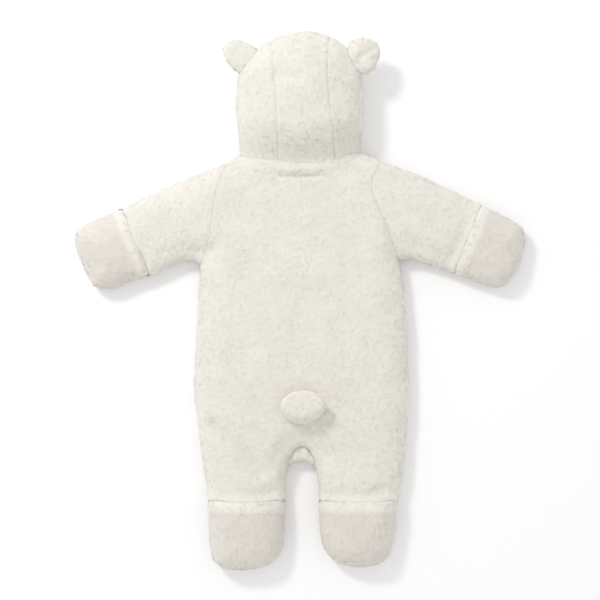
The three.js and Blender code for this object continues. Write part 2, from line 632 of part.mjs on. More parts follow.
// A fold-over cover: a pocket round the limb end, open along its flap edge
function coverPocket(cover, wall) {
  const { size, lineA, lineB, lineTip } = cover;
  const border = [lineA.polyline(), lineTip.polyline(), lineB.polyline()];
  const start = [lineA, lineB].map((edge) => ({ ...atReach(cover, edge, COVER_SETBACK), seam: true }));
  const rest = (edge, first) => {
    const from = fractionAt(edge, first);
    return COVER_ALONG.map((t) => {
      if (t === 0) return first;
      return t === 1 ? edge.last : { ...edge.at(lerp(from, 1, t)), seam: true };
    });
  };
  const sides = [rest(lineA, start[0]), rest(lineB, start[1])];
  const tip = lineTip.sample(COVER_ACROSS, true);
  const flap = COVER_ACROSS.map((t, k) => {
    if (k === 0) return start[0];
    if (k === COVER_ACROSS.length - 1) return start[1];
    const back = COVER_SETBACK * ramp(0, FLAP_CORNER, Math.min(t, 1 - t));
    const p = mix(start[0], start[1], t);
    return { x: p.x - cover.outward.x * back, y: p.y - cover.outward.y * back };
  });
  const under = straight(start[0], start[1], COVER_ACROSS);
  const top = (p) => (p.seam ? SEAM_HEIGHT : SEAM_HEIGHT + (size.crown - SEAM_HEIGHT)
    * rounding(distanceTo(border, p.x, p.y) / size.rounding));
  const bottom = (p) => (p.seam ? SEAM_HEIGHT
    : SEAM_HEIGHT * (1 - rounding(distanceTo(border, p.x, p.y) / FRONT_ROUNDING)));
  const quilt = new Quilt();
  quilt.addGrid(coons(flap, tip, ...sides), top, true);
  quilt.addGrid(coons(under, tip, ...sides), bottom, false);
  return thicken(quilt, () => wall);
}

function fractionAt(edge, point) {
  let best = 0;
  let least = Infinity;
  for (let k = 0; k <= 1000; k += 1) {
    const p = edge.at(k / 1000);
    const off = Math.hypot(p.x - point.x, p.y - point.y);
    if (off < least) {
      least = off;
      best = k / 1000;
    }
  }
  return best;
}

// Hood: a centre strip over the crown and two sides, all curling under to the face edge
const topLeftAt = fractionAtX(hoodTop, HOOD_SEAM_ENDS.topLeft);
const topRightAt = fractionAtX(hoodTop, HOOD_SEAM_ENDS.topRight);
const seamLeftTop = { ...hoodTop.at(topLeftAt), seam: true };
const seamRightTop = { ...hoodTop.at(topRightAt), seam: true };
const hoodSeamLeft = new Edge([neckBackLeft.at(-1), ...HOOD_SEAM_LEFT, seamLeftTop]);
const hoodSeamRight = new Edge([neckBackRight.at(-1), ...HOOD_SEAM_RIGHT, seamRightTop]);
const faceTop = new Edge(FACE_EDGE_TOP);

const topStretch = (from, to, steps, first, last) => steps.map((t) => {
  if (t === 0) return first;
  return t === 1 ? last : { ...hoodTop.at(lerp(from, to, t)), seam: true };
});
const hoodTopLeft = topStretch(0, topLeftAt, HOOD_TOP_STEPS, HOOD_LEFT, seamLeftTop);
const hoodTopMiddle = topStretch(topLeftAt, topRightAt, NECK_MIDDLE_STEPS, seamLeftTop, seamRightTop);
const hoodTopRight = topStretch(1, topRightAt, HOOD_TOP_STEPS, HOOD_RIGHT, seamRightTop);
const curlLeft = straight(seamLeftTop, faceTop.first, CURL_STEPS);
const curlRight = straight(seamRightTop, faceTop.last, CURL_STEPS);

function hoodCentre() {
  const quilt = new Quilt();
  const seams = [hoodSeamLeft.sample(HOOD_STEPS), hoodSeamRight.sample(HOOD_STEPS)];
  quilt.addGrid(coons(neckBackMiddle, hoodTopMiddle, ...seams), hoodUpper, true);
  quilt.addGrid(coons(hoodTopMiddle, faceTop.sample(NECK_MIDDLE_STEPS), curlLeft, curlRight),
    hoodLower, false);
  return thicken(quilt, hoodWall);
}

function hoodSide(side) {
  const left = side === 'left';
  const outer = (left ? hoodLeft : hoodRight).sample(HOOD_STEPS, true);
  const seam = (left ? hoodSeamLeft : hoodSeamRight).sample(HOOD_STEPS);
  const neckPoints = left ? neckBackLeft : neckBackRight;
  const top = left ? hoodTopLeft : hoodTopRight;
  const front = left ? neckFrontLeft : neckFrontRight;
  const curl = left ? curlLeft : curlRight;
  const faceRow = left ? FACE_EDGE_LEFT : FACE_EDGE_RIGHT;
  const faceEdge = new Edge([front.at(-1), ...faceRow, curl.at(-1)]);
  const rim = [...outer, ...top.slice(1)];
  const quilt = new Quilt();
  quilt.addGrid(coons(neckPoints, top, outer, seam), hoodUpper, true);
  quilt.addGrid(coons(rim, faceEdge.sample(fractions(rim)), front, curl), hoodLower, false);
  return thicken(quilt, hoodWall);
}

/**
 * A padded piece: domed above and below its middle height. root, tip and the two sides are plan
 * points. Its root face follows seat(p, z), the plan point where the root meets its base at z.
 */
function pad(root, tip, sideA, sideB, form, seat) {
  const outer = [sideA, tip, sideB];
  const share = (p) => (p.seam ? 0 : rounding(distanceTo(outer, p.x, p.y) / form.softness));
  const upperAt = (p) => p.z ?? form.middle + form.rise * share(p);
  const lowerAt = (p) => p.z ?? form.middle - form.fall * share(p);
  const rootRow = (t) => root.map((p) => {
    if (p.seam) return p;
    const z = lerp(upperAt(p), lowerAt(p), t);
    return { ...seat(p, z), z };
  });
  const rows = ROOT_STEPS.map(rootRow);
  const quilt = new Quilt();
  quilt.addGrid(coons(rows[0], tip, sideA, sideB), upperAt, true);
  quilt.addGrid(coons(rows.at(-1), tip, sideA, sideB), lowerAt, false);
  const border = new Set(quilt.borderEdges().map((edge) => `${edge.p},${edge.q}`));
  const ids = rows.map((row) => row.map((p) => quilt.vertex(p.x, p.y, upperAt(p))));
  for (let i = 1; i < ids.length; i += 1) {
    for (let j = 1; j < root.length; j += 1) {
      const quad = [ids[i - 1][j - 1], ids[i - 1][j], ids[i][j], ids[i][j - 1]];
      if (border.has(`${ids[0][j - 1]},${ids[0][j]}`)) quad.reverse();
      quilt.triangle(quad[0], quad[1], quad[2]);
      quilt.triangle(quad[0], quad[2], quad[3]);
    }
  }
  return quilt.geometry();
}

/** The point p moved away from a centre by a distance; a negative distance draws it in. */
function movedFrom(centre, p, distance) {
  const length = Math.hypot(p.x - centre.x, p.y - centre.y);
  return mix(centre, p, 1 + distance / length);
}

// Ears: root on the hood's outline from below the corner to the top, outline through the tip
const HOOD_MIDDLE = { x: 0, y: 262 };
const EARS = {
  left: { low: 0.87, high: 0.14, sideLow: plan([-86, 296]), sideHigh: plan([-65, 327.5]),
    tipLow: corner(-94.5, 306), tipHigh: corner(-81, 333), tip: plan([-98.6, 319], [-92, 330]) },
  right: { low: 0.83, high: 0.9, sideLow: plan([86, 290]), sideHigh: plan([65.5, 330]),
    tipLow: corner(96, 297), tipHigh: corner(80, 335.5), tip: plan([102.5, 315], [97, 330]) },
};
const EAR = { middle: 43, rise: 10.5, fall: 10, softness: 15, seat: 0.5, seatReach: 14 };

/** Where the ear's root meets the hood's dome at height z, drawn in from the outline. */
function earSeat(p, z) {
  let low = 0;
  let high = EAR.seatReach;
  for (let k = 0; k < 20; k += 1) {
    const middle = (low + high) / 2;
    if (hoodUpper(movedFrom(HOOD_MIDDLE, p, -middle)) < z) low = middle;
    else high = middle;
  }
  return movedFrom(HOOD_MIDDLE, p, EAR.seat - low);
}

function ear(side) {
  const shape = EARS[side];
  const edge = side === 'left' ? hoodLeft : hoodRight;
  const topEnd = side === 'left' ? 0 : 1;
  const root = PAD_ACROSS.map((t) => {
    const onSide = t < 0.5;
    const p = onSide ? edge.at(lerp(shape.low, 1, 2 * t)) : hoodTop.at(lerp(topEnd, shape.high, 2 * t - 1));
    return t === 0 || t === 1 ? { ...movedFrom(HOOD_MIDDLE, p, EAR.seat), seam: true } : p;
  });
  const tip = new Edge([shape.tipLow, ...shape.tip, shape.tipHigh]).sample(PAD_ACROSS, true);
  const sideA = new Edge([root[0], ...shape.sideLow, shape.tipLow]).sample(PAD_ALONG, true);
  const sideB = new Edge([root.at(-1), ...shape.sideHigh, shape.tipHigh]).sample(PAD_ALONG, true);
  return pad(root, tip, sideA, sideB, EAR, earSeat);
}

// Gusset: the folded cloth that joins the legs under the arch of the crotch
const GUSSET = { middle: 11, rise: 9.5, fall: 10, softness: 9, seat: 0.5, low: -213, taper: 2.5 };

function gusset() {
  const centre = { x: CROTCH.x, y: GUSSET.low };
  const above = (points) => points.filter((p) => p.y > GUSSET.low);
  const arch = [...above(legLeft.b.shown).reverse(), ...above(legRight.a.shown).slice(1)];
  const root = arch.map((p, k) => ({
    ...movedFrom(centre, p, -GUSSET.seat), seam: k === 0 || k === arch.length - 1,
  }));
  const steps = fractions(root);
  const [a, b] = [root[0], root.at(-1)];
  const tip = straight(corner(a.x + GUSSET.taper, GUSSET.low), corner(b.x - GUSSET.taper, GUSSET.low),
    steps, true);
  const sideA = straight(a, tip[0], PAD_ALONG, true);
  const sideB = straight(b, tip.at(-1), PAD_ALONG, true);
  return pad(root, tip, sideA, sideB, GUSSET, (p) => ({ x: p.x, y: p.y }));
}

// Tail: a stuffed knob on the seat, leaning towards the hood
const TAIL = { x: 3, y: -147, width: 56, length: 37, height: 29, lean: 0.6 };

function tail() {
  const profile = table(['radius', 'height'],
    [0, 0], [0.72, 0], [0.84, 0.12], [0.93, 0.36], [1, 0.64], [0.97, 0.82], [0.84, 0.94],
    [0.5, 1], [0, 1]);
  const outline = profile.map((row) => new THREE.Vector2(row.radius, row.height));
  const geometry = new THREE.LatheGeometry(outline, 22);
  geometry.rotateX(Math.PI / 2);
  geometry.scale(TAIL.width / 2, TAIL.length / 2, TAIL.height);
  const shear = new THREE.Matrix4().set(1, 0, 0, 0, 0, 1, TAIL.lean, 0, 0, 0, 1, 0, 0, 0, 0, 1);
  geometry.applyMatrix4(shear);
  return geometry;
}

// Zip on the hidden front: a tape behind the two front edges, a slider and its pull tab
const ZIP = { top: 168, bottom: -180, tapeLow: 5.25, tapeThick: 1.5, pivotY: 156, pivotZ: 2.1 };
const SLIDER = { width: 9, length: 12, low: 3.2, thick: 1.7, bridgeWidth: 2.2, bridgeLength: 8.4,
  bridgeLow: 0.4, bridgeBar: 0.6, post: 1.5 };
const PULL = { width: 6, length: 23, thick: 1, bar: 1, slot: 3.2, slotLength: 5.4, tipWidth: 4.4 };

function zipTape() {
  const length = ZIP.top - ZIP.bottom;
  const tape = new THREE.BoxGeometry(ZIP_CHANNEL - 2 * PANEL_GAP, length, ZIP.tapeThick);
  return tape.translate(ZIP_AXIS, ZIP.bottom + length / 2, ZIP.tapeLow + ZIP.tapeThick / 2);
}

const wasm = await Module();
wasm.setup();

/** The union of closed geometries, as one geometry. */
function joined(geometries) {
  const solids = geometries.map((geometry) => {
    const quilt = new Quilt();
    const place = geometry.getAttribute('position');
    const index = geometry.index ? [...geometry.index.array]
      : Array.from({ length: place.count }, (_, k) => k);
    const ids = index.map((k) => quilt.vertex(place.getX(k), place.getY(k), place.getZ(k)));
    for (let k = 0; k < ids.length; k += 3) quilt.triangle(ids[k], ids[k + 1], ids[k + 2]);
    return new wasm.Manifold(new wasm.Mesh({
      numProp: 3,
      vertProperties: new Float32Array(quilt.vertices.flatMap((v) => [v.x, v.y, v.z])),
      triVerts: new Uint32Array(quilt.triangles.flat()),
    }));
  });
  const mesh = solids.reduce((whole, solid) => whole.add(solid)).getMesh();
  const geometry = new THREE.BufferGeometry();
  geometry.setAttribute('position', new THREE.Float32BufferAttribute(mesh.vertProperties, 3));
  geometry.setIndex([...mesh.triVerts]);
  geometry.computeVertexNormals();
  return geometry;
}

function zipSlider() {
  const [halfWide, halfLong] = [SLIDER.width / 2, SLIDER.length / 2];
  const plate = new THREE.Shape();
  plate.moveTo(-halfWide, halfLong - 3);
  plate.lineTo(-halfWide + 2.4, halfLong);
  plate.lineTo(halfWide - 2.4, halfLong);
  plate.lineTo(halfWide, halfLong - 3);
  plate.lineTo(halfWide - 1.6, -halfLong);
  plate.lineTo(-halfWide + 1.6, -halfLong);
  plate.closePath();
  const body = new THREE.ExtrudeGeometry(plate, { depth: SLIDER.thick, bevelEnabled: false });
  body.translate(0, 0, SLIDER.low);
  const arch = new THREE.Shape();
  const [reach, foot] = [SLIDER.bridgeLength / 2, SLIDER.low + SLIDER.thick / 2];
  const [bar, post] = [SLIDER.bridgeLow + SLIDER.bridgeBar, reach - SLIDER.post];
  arch.moveTo(-reach, foot);
  arch.lineTo(-reach, SLIDER.bridgeLow);
  arch.lineTo(reach, SLIDER.bridgeLow);
  arch.lineTo(reach, foot);
  arch.lineTo(post, foot);
  arch.lineTo(post, bar);
  arch.lineTo(-post, bar);
  arch.lineTo(-post, foot);
  arch.closePath();
  const bridge = new THREE.ExtrudeGeometry(arch, { depth: SLIDER.bridgeWidth, bevelEnabled: false });
  bridge.rotateX(Math.PI / 2);
  bridge.rotateZ(Math.PI / 2);
  bridge.translate(-SLIDER.bridgeWidth / 2, 0, 0);
  return joined([body, bridge]).translate(ZIP_AXIS, ZIP.pivotY, 0);
}

function zipPull() {
  const outline = new THREE.Shape();
  const [half, tipHalf, bar] = [PULL.width / 2, PULL.tipWidth / 2, PULL.bar / 2];
  outline.moveTo(-half, bar);
  outline.lineTo(-half, -9);
  outline.lineTo(-tipHalf, -12);
  outline.lineTo(-tipHalf, -PULL.length + 2);
  outline.absarc(0, -PULL.length + 2, tipHalf, Math.PI, 2 * Math.PI, false);
  outline.lineTo(tipHalf, -12);
  outline.lineTo(half, -9);
  outline.lineTo(half, bar);
  outline.closePath();
  const slot = new THREE.Path();
  slot.moveTo(-PULL.slot / 2, -bar);
  slot.lineTo(PULL.slot / 2, -bar);
  slot.lineTo(PULL.slot / 2, -bar - PULL.slotLength);
  slot.lineTo(-PULL.slot / 2, -bar - PULL.slotLength);
  slot.closePath();
  outline.holes.push(slot);
  const tab = new THREE.ExtrudeGeometry(outline,
    { depth: PULL.thick, bevelEnabled: false, curveSegments: 6 });
  return tab.translate(ZIP_AXIS, ZIP.pivotY, ZIP.pivotZ - PULL.thick / 2);
}

// Materials: off-white pile, a plainer woven tape, dull metal
const fleece = (shade) => new THREE.MeshStandardMaterial(
  { color: new THREE.Color(0.9 * shade, 0.88 * shade, 0.83 * shade), roughness: 0.95, metalness: 0 });
const tapeCloth = new THREE.MeshStandardMaterial({ color: 0xe9e4d8, roughness: 0.8, metalness: 0 });
const metal = new THREE.MeshStandardMaterial({ color: 0xb9b7b2, roughness: 0.35, metalness: 0.9 });

const suit = new THREE.Group();
const pieces = [
  ['back_panel', backPanel(), fleece(1)],
  ['front_left', frontPanel('left'), fleece(0.98)],
  ['front_right', frontPanel('right'), fleece(0.98)],
  ['sleeve_left', sleeve(sleeveLeft, armholeLeftPoints), fleece(1)],
  ['sleeve_right', sleeve(sleeveRight, armholeRightPoints), fleece(1)],
  ['mitt_left', coverPocket(COVERS.mitt_left, WALL.mitt), fleece(0.97)],
  ['mitt_right', coverPocket(COVERS.mitt_right, WALL.mitt), fleece(0.97)],
  ['bootie_left', coverPocket(COVERS.bootie_left, WALL.bootie), fleece(0.97)],
  ['bootie_right', coverPocket(COVERS.bootie_right, WALL.bootie), fleece(0.97)],
  ['hood_centre', hoodCentre(), fleece(1)],
  ['hood_side_left', hoodSide('left'), fleece(0.99)],
  ['hood_side_right', hoodSide('right'), fleece(0.99)],
  ['ear_left', ear('left'), fleece(0.98)],
  ['ear_right', ear('right'), fleece(0.98)],
  ['crotch_gusset', gusset(), fleece(0.96)],
  ['zip_tape', zipTape(), tapeCloth],
  ['zip_slider', zipSlider(), metal],
  ['zip_pull', zipPull(), metal],
];
for (const [name, geometry, material] of pieces) {
  const mesh = new THREE.Mesh(geometry, material);
  mesh.name = name;
  suit.add(mesh);
}
const tailKnob = new THREE.Mesh(tail(), fleece(0.98));
tailKnob.name = 'tail';
tailKnob.position.set(TAIL.x, TAIL.y, TORSO_CROWN + PANEL_GAP);
suit.add(tailKnob);

// The origin is the middle of the garment's plan box, on the table
suit.updateMatrixWorld(true);
const extent = new THREE.Box3().setFromObject(suit);
const middle = extent.getCenter(new THREE.Vector3());
suit.position.set(-middle.x, -middle.y, -extent.min.z);

export default suit;
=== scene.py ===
"""Baby snowsuit in curly pile fleece, laid face down and seen from above.

Lengths are millimetres on the garment's plan until a mesh is made; FRAME_SHIFT and MM then put
it in the frame. A panel is a grid between four seam curves, raised to the garment's height,
given a wall and a lining side, and covered in pile: knots in the surface and separate locks.
"""
import math
import bpy
import numpy as np
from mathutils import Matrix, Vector


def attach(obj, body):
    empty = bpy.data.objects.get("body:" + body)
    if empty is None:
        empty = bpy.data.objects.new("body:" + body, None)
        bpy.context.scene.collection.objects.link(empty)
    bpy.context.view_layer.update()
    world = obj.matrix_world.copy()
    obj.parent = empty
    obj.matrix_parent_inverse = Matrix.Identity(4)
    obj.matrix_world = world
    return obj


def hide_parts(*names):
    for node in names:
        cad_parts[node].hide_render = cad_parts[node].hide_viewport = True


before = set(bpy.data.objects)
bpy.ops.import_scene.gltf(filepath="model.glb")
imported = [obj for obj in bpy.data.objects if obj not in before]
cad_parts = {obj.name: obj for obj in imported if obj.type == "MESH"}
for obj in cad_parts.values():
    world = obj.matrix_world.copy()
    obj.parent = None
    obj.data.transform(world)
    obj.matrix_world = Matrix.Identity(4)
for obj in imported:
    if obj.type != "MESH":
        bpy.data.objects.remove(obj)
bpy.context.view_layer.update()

MM = 0.001
FRAME_SHIFT = np.array([0.006, 2.791, 0.0])   # plan millimetres to the frame's millimetres

# Sizes of the garment
SEAM_HEIGHT = 15.0
TORSO_CROWN = 40.0
SLEEVE_CROWN = 34.0
BACK_ROUNDING = 42.0
FRONT_ROUNDING = 22.0
HOOD_EQUATOR = 38.0
HOOD_CROWN = 78.0
HOOD_ROUNDING = 80.0
HOOD_TUCK = 28.0
HOOD_RISE = 43.0
HOOD_FILLET = 8.0
ZIP_AXIS = 1.5
ZIP_CHANNEL = 12.0
SLEEVE_BLEND = (90.0, 230.0)
RELIEF_REACH = 18.0
MITT = dict(reach=40.0, inset=8.2, lift=6.4, dip=0.0, welt=3.0, crown=39.0, rounding=40.0)
BOOTIE = dict(reach=50.0, inset=8.5, lift=7.4, dip=0.0, welt=4.4, crown=47.0, rounding=42.0)
TUCK_START, TUCK_END, DIP_END = -12.0, 4.0, -2.0
COVER_SETBACK = 0.3
WELT_MIDDLE, WELT_WIDTH, WELT_EDGE = 0.0, 6.0, 4.0    # the limb's rise against its cover's flap
FLAP_CORNER = 0.2
NECKING = ((0.75, 0.0), (0.92, 0.1), (1.0, 1.0))

# Plan corners
NECK_LEFT, NECK_RIGHT = (-77, 186), (78, 192)
SHOULDER_LEFT, SHOULDER_RIGHT = (-94, 178), (105, 180)
ARMPIT_LEFT, ARMPIT_RIGHT = (-129, 47), (127.5, 53)
HIP_LEFT, HIP_RIGHT = (-129, -191), (136.5, -191)
CROTCH = (2.6, -190)
HOOD_LEFT, HOOD_RIGHT = (-73, 305.5), (72, 308)

# Plan outlines, one point for each section
TORSO_LEFT = [(-131, 13), (-133, -32), (-136, -78), (-136.5, -127), (-132, -160)]
TORSO_RIGHT = [(134, 13), (138, -32), (140, -78), (140, -127), (139, -160)]
ARMHOLE_LEFT = [(-107, 143), (-113, 110), (-118, 78)]
ARMHOLE_RIGHT = [(92, 150), (96, 130), (110, 98)]
NECK_CURVE = [(-55, 182.5), (-26, 179), (0, 176), (26, 176), (46, 180), (62, 187)]
LEG_LEFT_OUTER = [(-127, -205), (-123.5, -229)]
LEG_LEFT_INNER = [(-3.5, -193), (-9, -198), (-14.3, -207), (-17.5, -218), (-19.5, -234)]
LEG_RIGHT_INNER = [(8.5, -193), (13, -198), (17, -205), (20, -216), (23, -231)]
LEG_RIGHT_OUTER = [(135, -205), (132, -229)]
SLEEVE_LEFT_TOP = [(-130, 163), (-169, 147)]
SLEEVE_LEFT_LOW = [(-137, 51), (-150, 52)]
SLEEVE_RIGHT_TOP = [(130, 170), (169, 155)]
SLEEVE_RIGHT_LOW = [(143, 53.5), (162, 48)]
HOOD_SIDE_LEFT = [(-78, 205), (-80, 228), (-82, 250), (-81, 272), (-79, 288)]
HOOD_SIDE_RIGHT = [(79, 212), (80, 238), (80.3, 270), (78.5, 291)]
HOOD_TOP = [(-54, 322), (-26, 337.5), (10, 344.5), (41, 336), (60, 322.5)]
HOOD_SEAM_LEFT = [(-30, 232), (-33, 275), (-35, 310)]
HOOD_SEAM_RIGHT = [(42, 212), (38, 240), (35, 275), (35, 310)]
HOOD_SEAM_ENDS = dict(neck=(-28, 45), top=(-36, 36.5))
FACE_EDGE_LEFT = [(-22, 184), (-42, 200), (-50, 240), (-49, 275)]
FACE_EDGE_TOP = [(-36, 302), (0, 313), (37, 303)]
FACE_EDGE_RIGHT = [(25, 185), (44, 202), (51, 240), (49, 277)]

COVERS = {
    "mitt_left": dict(
        size=MITT, flap=[(-230, 119), (-194, 32.5)], tip_a=(-289.5, 87.5), tip_b=(-267.5, 18.5),
        edge_a=[(-260, 105), (-281, 94.5)], tip=[(-292.5, 77), (-286, 55), (-276, 33)],
        edge_b=[(-257, 14.5), (-240, 15.6), (-221, 24.5)]),
    "mitt_right": dict(
        size=MITT, flap=[(234, 124), (198, 35)], tip_a=(289.5, 93), tip_b=(268.5, 19.5),
        edge_a=[(260, 111), (279.5, 100.5)], tip=[(292.5, 82), (290, 62), (280, 35)],
        edge_b=[(256, 16.5), (240, 20.5), (221, 27)]),
    "bootie_left": dict(
        size=BOOTIE, flap=[(-119, -259), (-19.5, -259)], tip_a=(-112, -338), tip_b=(-29, -335),
        edge_a=[(-117.5, -290), (-116, -320)], tip=[(-101, -347), (-72, -350), (-42, -344)],
        edge_b=[(-22, -318), (-20, -290)]),
    "bootie_right": dict(
        size=BOOTIE, flap=[(24.5, -259), (127, -259)], tip_a=(37, -330), tip_b=(115, -332.5),
        edge_a=[(26, -290), (29.5, -315)], tip=[(52, -342), (80, -346.5), (104, -341.5)],
        edge_b=[(120, -316), (124, -286)]),
}

# Troughs lie along a line from (x0, y0) to (x1, y1); a negative depth is a ridge.
# Columns: x0, y0, x1, y1, depth, width
BACK_FOLDS = np.array([
    (-36, 171.0, 44, 173.0, -1.4, 5.0),       # roll just below the neck seam, fading at its ends
    (-26, 168.0, 34, 168.5, -1.3, 5.0),
    (-12, 166.0, 20, 166.0, -0.8, 5.0),
    (-30, 160.0, 31, 160.5, 1.5, 3.2),        # crease under that roll, fading at its ends
    (-24, 158.5, 25, 159.0, 1.7, 2.8),
    (-15, 157.5, 17, 157.5, 1.5, 2.6),
    (-112, -160, -52, -222, 7.0, 10.0),       # slanting trough on the left leg
    (-96, -150, -30, -168, -1.4, 11.0),       # soft ridge above it
    (215, 78, 196, 54, 4.0, 11.0),            # trough on the right sleeve, beside the mitt
    (236, 116, 206, 52, -1.2, 9.0),
    (-130, 60, -112, 66, 5.0, 9.0),           # crease at the left armpit
    (-176, 60, -128, 56, 2.2, 9.0),
    (-150, 96, -118, 70, -1.2, 12.0),
    (112, 92, 126, 58, 3.0, 8.0),             # pull below the right armhole
    (130, 74, 176, 62, 1.6, 10.0),
    (-24, -245, -60, -252, 3.0, 9.0),         # tuck above the left bootie
    (100, -246, 124, -240, 3.5, 8.0),         # tuck above the right bootie
    (30, -248, 86, -252, 1.6, 7.0),
    (-10, -176, -34, -206, 1.8, 9.0),         # pulls that run into the crotch
    (14, -176, 36, -200, 1.8, 9.0),
    (70, -120, 118, -190, 1.2, 16.0),
    (-60, 60, -96, 10, 1.0, 18.0),
    (50, 96, 92, 40, 1.0, 18.0),
    (-80, 150, -60, 96, 0.9, 14.0),
    (96, 176, 70, 150, -1.8, 12.0),           # lift of the right shoulder
    (-20, -60, 60, -84, 0.8, 20.0),
])
FRONT_FOLDS = np.array([
    (-100, 60, -60, 20, 1.4, 14.0),
    (60, 30, 104, 66, 1.4, 14.0),
    (-110, -150, -40, -205, 1.8, 13.0),
    (118, -150, 44, -205, 1.8, 13.0),
])
HOOD_FOLDS = np.array([
    (-30, 281, 0, 283, 2.5, 7.0),
    (44, 292, 78, 282, 2.5, 7.0),
    (36, 215, 70, 204, 2.0, 9.0),
    (-62, 236, -40, 212, 1.2, 10.0),
    (44, 262, 66, 252, 1.2, 9.0),
    (-8, 226, 20, 214, 1.2, 12.0),
])

GRID = 1.9            # spacing of the cloth's grids
WALL = dict(body=4.2, sleeve=4.0, hood=4.2, mitt=5.0, bootie=5.4)


def lerp(a, b, t):
    return a + (b - a) * t


def ramp(low, high, t):
    """0 below low, 1 above high, straight between."""
    return np.clip((t - low) / (high - low), 0.0, 1.0)


def smooth(low, high, t):
    """0 below low, 1 above high, with level ends."""
    s = ramp(low, high, t)
    return s * s * (3 - 2 * s)


def rounding(s):
    """Quarter circle: sqrt(1 - (1 - s)^2), upright at 0 and level from 1 on."""
    return np.sqrt(1 - (1 - np.clip(s, 0, 1)) ** 2)


class Edge:
    """Plan curve through points, centripetal Catmull-Rom, read by fractions of its length."""

    def __init__(self, *points, chain=None):
        if chain is not None:
            self.path = np.vstack([chain[0].path] + [edge.path[1:] for edge in chain[1:]])
            ends = np.cumsum([edge.length for edge in chain])
            self.corners = ends[:-1] / ends[-1]
        else:
            self.path = self.curve(np.array(points, float))
            self.corners = np.array([])
        steps = np.linalg.norm(np.diff(self.path, axis=0), axis=1)
        self.length = steps.sum()
        self.fraction = np.concatenate([[0], np.cumsum(steps)]) / self.length

    @staticmethod
    def curve(points, count=400):
        ends = np.vstack([2 * points[0] - points[1], points, 2 * points[-1] - points[-2]])
        gap = np.sqrt(np.linalg.norm(np.diff(ends, axis=0), axis=1))[:, None]
        u = np.linspace(0, len(points) - 1, count + 1)
        k = np.minimum(u.astype(int), len(points) - 2)
        w = (u - k)[:, None]
        p0, p1, p2, p3 = (ends[k + n] for n in range(4))
        d0, d1, d2 = (gap[k + n] for n in range(3))
        m1 = ((p1 - p0) / d0 - (p2 - p0) / (d0 + d1) + (p2 - p1) / d1) * d1
        m2 = ((p2 - p1) / d1 - (p3 - p1) / (d1 + d2) + (p3 - p2) / d2) * d1
        return (p1 + m1 * w + (3 * (p2 - p1) - 2 * m1 - m2) * w ** 2
                + (2 * (p1 - p2) + m1 + m2) * w ** 3)

    def at(self, fractions):
        return np.stack([np.interp(fractions, self.fraction, self.path[:, k]) for k in (0, 1)], -1)

    def sample(self, fractions):
        """Points at the fractions, the nearest one moved onto each corner of a chain."""
        fractions = np.array(fractions, float)
        for corner in self.corners:
            fractions[np.abs(fractions - corner).argmin()] = corner
        return self.at(fractions)

    def part(self, low, high):
        """The stretch between two fractions; low above high turns it round."""
        piece = object.__new__(Edge)
        piece.path = self.at(np.linspace(low, high, 200))
        steps = np.linalg.norm(np.diff(piece.path, axis=0), axis=1)
        piece.length = steps.sum()
        piece.fraction = np.concatenate([[0], np.cumsum(steps)]) / piece.length
        piece.corners = np.array([])
        return piece

    def reach_fraction(self, value, wanted):
        """The first fraction at which value(point) comes to the wanted one."""
        values = value(self.path)
        k = np.argmax(values >= wanted)
        return np.interp(wanted, values[k - 1:k + 1], self.fraction[k - 1:k + 1])


def straight(a, b):
    return Edge(a, b)


def span(*edges):
    return Edge(chain=edges)


# Covers: the flap line's direction, and the limb end hidden inside
def frame_cover(cover):
    a, b = np.array(cover["flap"], float)
    across = (b - a) / np.linalg.norm(b - a)
    tip = np.array(cover["tip_a"]) - a
    side = 1 if tip[0] * across[1] - tip[1] * across[0] > 0 else -1
    outward = np.array([across[1], -across[0]]) * side
    cover.update(
        across=across, outward=outward, reach_of=lambda p: (p - a) @ outward,
        covers=lambda p: (p[..., 1] * a[1] > 0) & (p[..., 0] * (a[0] + b[0]) > 0),
        line_a=Edge(cover["flap"][0], *cover["edge_a"], cover["tip_a"]),
        line_b=Edge(cover["flap"][1], *cover["edge_b"][::-1], cover["tip_b"]),
        line_tip=Edge(cover["tip_a"], *cover["tip"], cover["tip_b"]))


for cover in COVERS.values():
    frame_cover(cover)


def limb_edge(cover, line, flap, root, middle, towards):
    """The limb's outline: free from its root, then drawn in by the inset inside the cover."""
    size, outward, across = cover["size"], cover["outward"], cover["across"]
    free = np.array(flap, float) + outward * TUCK_START
    shown = Edge(root, *middle, free)
    entry, end = (line.at(line.reach_fraction(cover["reach_of"], r)) for r in (TUCK_END, size["reach"]))
    path = [free] + [lerp(free, entry, along) + across * size["inset"] * towards * share
                     for along, share in NECKING]
    path.append(end + across * size["inset"] * towards)
    tucked = object.__new__(Edge)
    tucked.path = np.array(path)
    steps = np.linalg.norm(np.diff(tucked.path, axis=0), axis=1)
    tucked.length, tucked.corners = steps.sum(), np.array([])
    tucked.fraction = np.concatenate([[0], np.cumsum(steps)]) / tucked.length
    return span(shown, tucked)


def limb(name, root_a, middle_a, root_b, middle_b):
    cover = COVERS[name]
    return (limb_edge(cover, cover["line_a"], cover["flap"][0], root_a, middle_a, 1),
            limb_edge(cover, cover["line_b"], cover["flap"][1], root_b, middle_b, -1))


